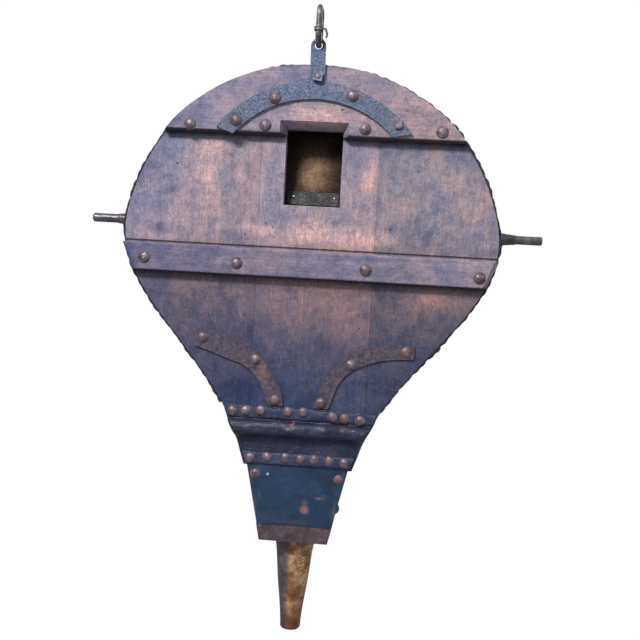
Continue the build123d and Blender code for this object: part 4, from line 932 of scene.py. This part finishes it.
# ============================================================ stage, light, camera
def floor():
    """Plain pale floor below the hanging bellows: white to look at, dim as a reflector."""
    me = bpy.data.meshes.new("floor")
    q = 14.0
    z = -1.05
    me.from_pydata([(-q, -q, z), (q, -q, z), (q, q, z), (-q, q, z)], [], [(0, 1, 2, 3)])
    o = bpy.data.objects.new("floor", me)
    scene.collection.objects.link(o)
    g = Graph("floor_white")
    g.finish((0.30, 0.30, 0.31, 1), 0.9, None, 0, 0.1)
    em = g.new("ShaderNodeEmission")
    em.inputs[0].default_value = (1, 1, 1, 1)
    em.inputs[1].default_value = 1.0
    lp_ = g.new("ShaderNodeLightPath")
    mx = g.new("ShaderNodeMixShader")
    g.put(mx.inputs[0], lp_.outputs["Is Camera Ray"])
    g.t.links.new(g.b.outputs[0], mx.inputs[1])
    g.t.links.new(em.outputs[0], mx.inputs[2])
    g.t.links.new(mx.outputs[0], g.out.inputs[0])
    me.materials.append(g.mat)


floor()

world = bpy.data.worlds.new("studio")
scene.world = world
world.use_nodes = True
wt = world.node_tree
wt.nodes.clear()
wo = wt.nodes.new("ShaderNodeOutputWorld")
wb = wt.nodes.new("ShaderNodeBackground")
wb.inputs[0].default_value = (1.0, 1.0, 1.0, 1)
wb.inputs[1].default_value = 1.0
wl = wt.nodes.new("ShaderNodeBackground")
wl.inputs[0].default_value = (0.80, 0.88, 1.0, 1)
wc = wt.nodes.new("ShaderNodeTexCoord")
ws = wt.nodes.new("ShaderNodeSeparateXYZ")
wr = wt.nodes.new("ShaderNodeMapRange")
wt.links.new(wc.outputs["Generated"], ws.inputs[0])
wt.links.new(ws.outputs[2], wr.inputs[0])
for i, v in enumerate((-0.35, 0.75, 0.03, 0.75)):
    wr.inputs[i + 1].default_value = v
wt.links.new(wr.outputs[0], wl.inputs[1])
lp = wt.nodes.new("ShaderNodeLightPath")
wm = wt.nodes.new("ShaderNodeMixShader")
wt.links.new(lp.outputs["Is Camera Ray"], wm.inputs[0])
wt.links.new(wl.outputs[0], wm.inputs[1])
wt.links.new(wb.outputs[0], wm.inputs[2])
wt.links.new(wm.outputs[0], wo.inputs[0])


def area(name, loc, target, size, power, color):
    ld = bpy.data.lights.new(name, "AREA")
    ld.shape = "SQUARE"
    ld.size = size
    ld.energy = power
    ld.color = color
    o = bpy.data.objects.new(name, ld)
    scene.collection.objects.link(o)
    o.location = loc
    o.rotation_euler = (Vector(target) - Vector(loc)).to_track_quat("-Z", "Y").to_euler()
    return o


area("key", (-1.2, -2.5, 1.95), (0.0, 0.0, 0.0), 0.6, 120.0, (1.0, 0.96, 0.92))
area("fill", (2.6, -2.2, 1.2), (0.0, 0.0, -0.1), 2.0, 16.0, (0.93, 0.95, 1.0))
area("back", (0.6, 2.4, 1.8), (0.0, 0.0, 0.0), 2.0, 50.0, (1.0, 1.0, 1.0))

AZ, ROLL, DIST = math.radians(4.0), math.radians(3.5), 2.0
target = Vector((0.0245, 0.0, -0.1936))
back = Vector((math.sin(AZ), -math.cos(AZ), 0))
right = Vector((math.cos(AZ), math.sin(AZ), 0))
up = Vector((0, 0, 1))
r2 = right * math.cos(ROLL) + up * math.sin(ROLL)
u2 = -right * math.sin(ROLL) + up * math.cos(ROLL)
cam = bpy.data.cameras.new("camera")
cam.lens = 36.0 * 935.0 / 640.0
cam.sensor_width = 36.0
co = bpy.data.objects.new("camera", cam)
scene.collection.objects.link(co)
m = Matrix.Identity(4)
for i in range(3):
    m[i][0], m[i][1], m[i][2] = r2[i], u2[i], back[i]
m.translation = target + back * DIST
co.matrix_world = m
scene.camera = co
scene.view_settings.view_transform = "Standard"
scene.view_settings.look = "None"
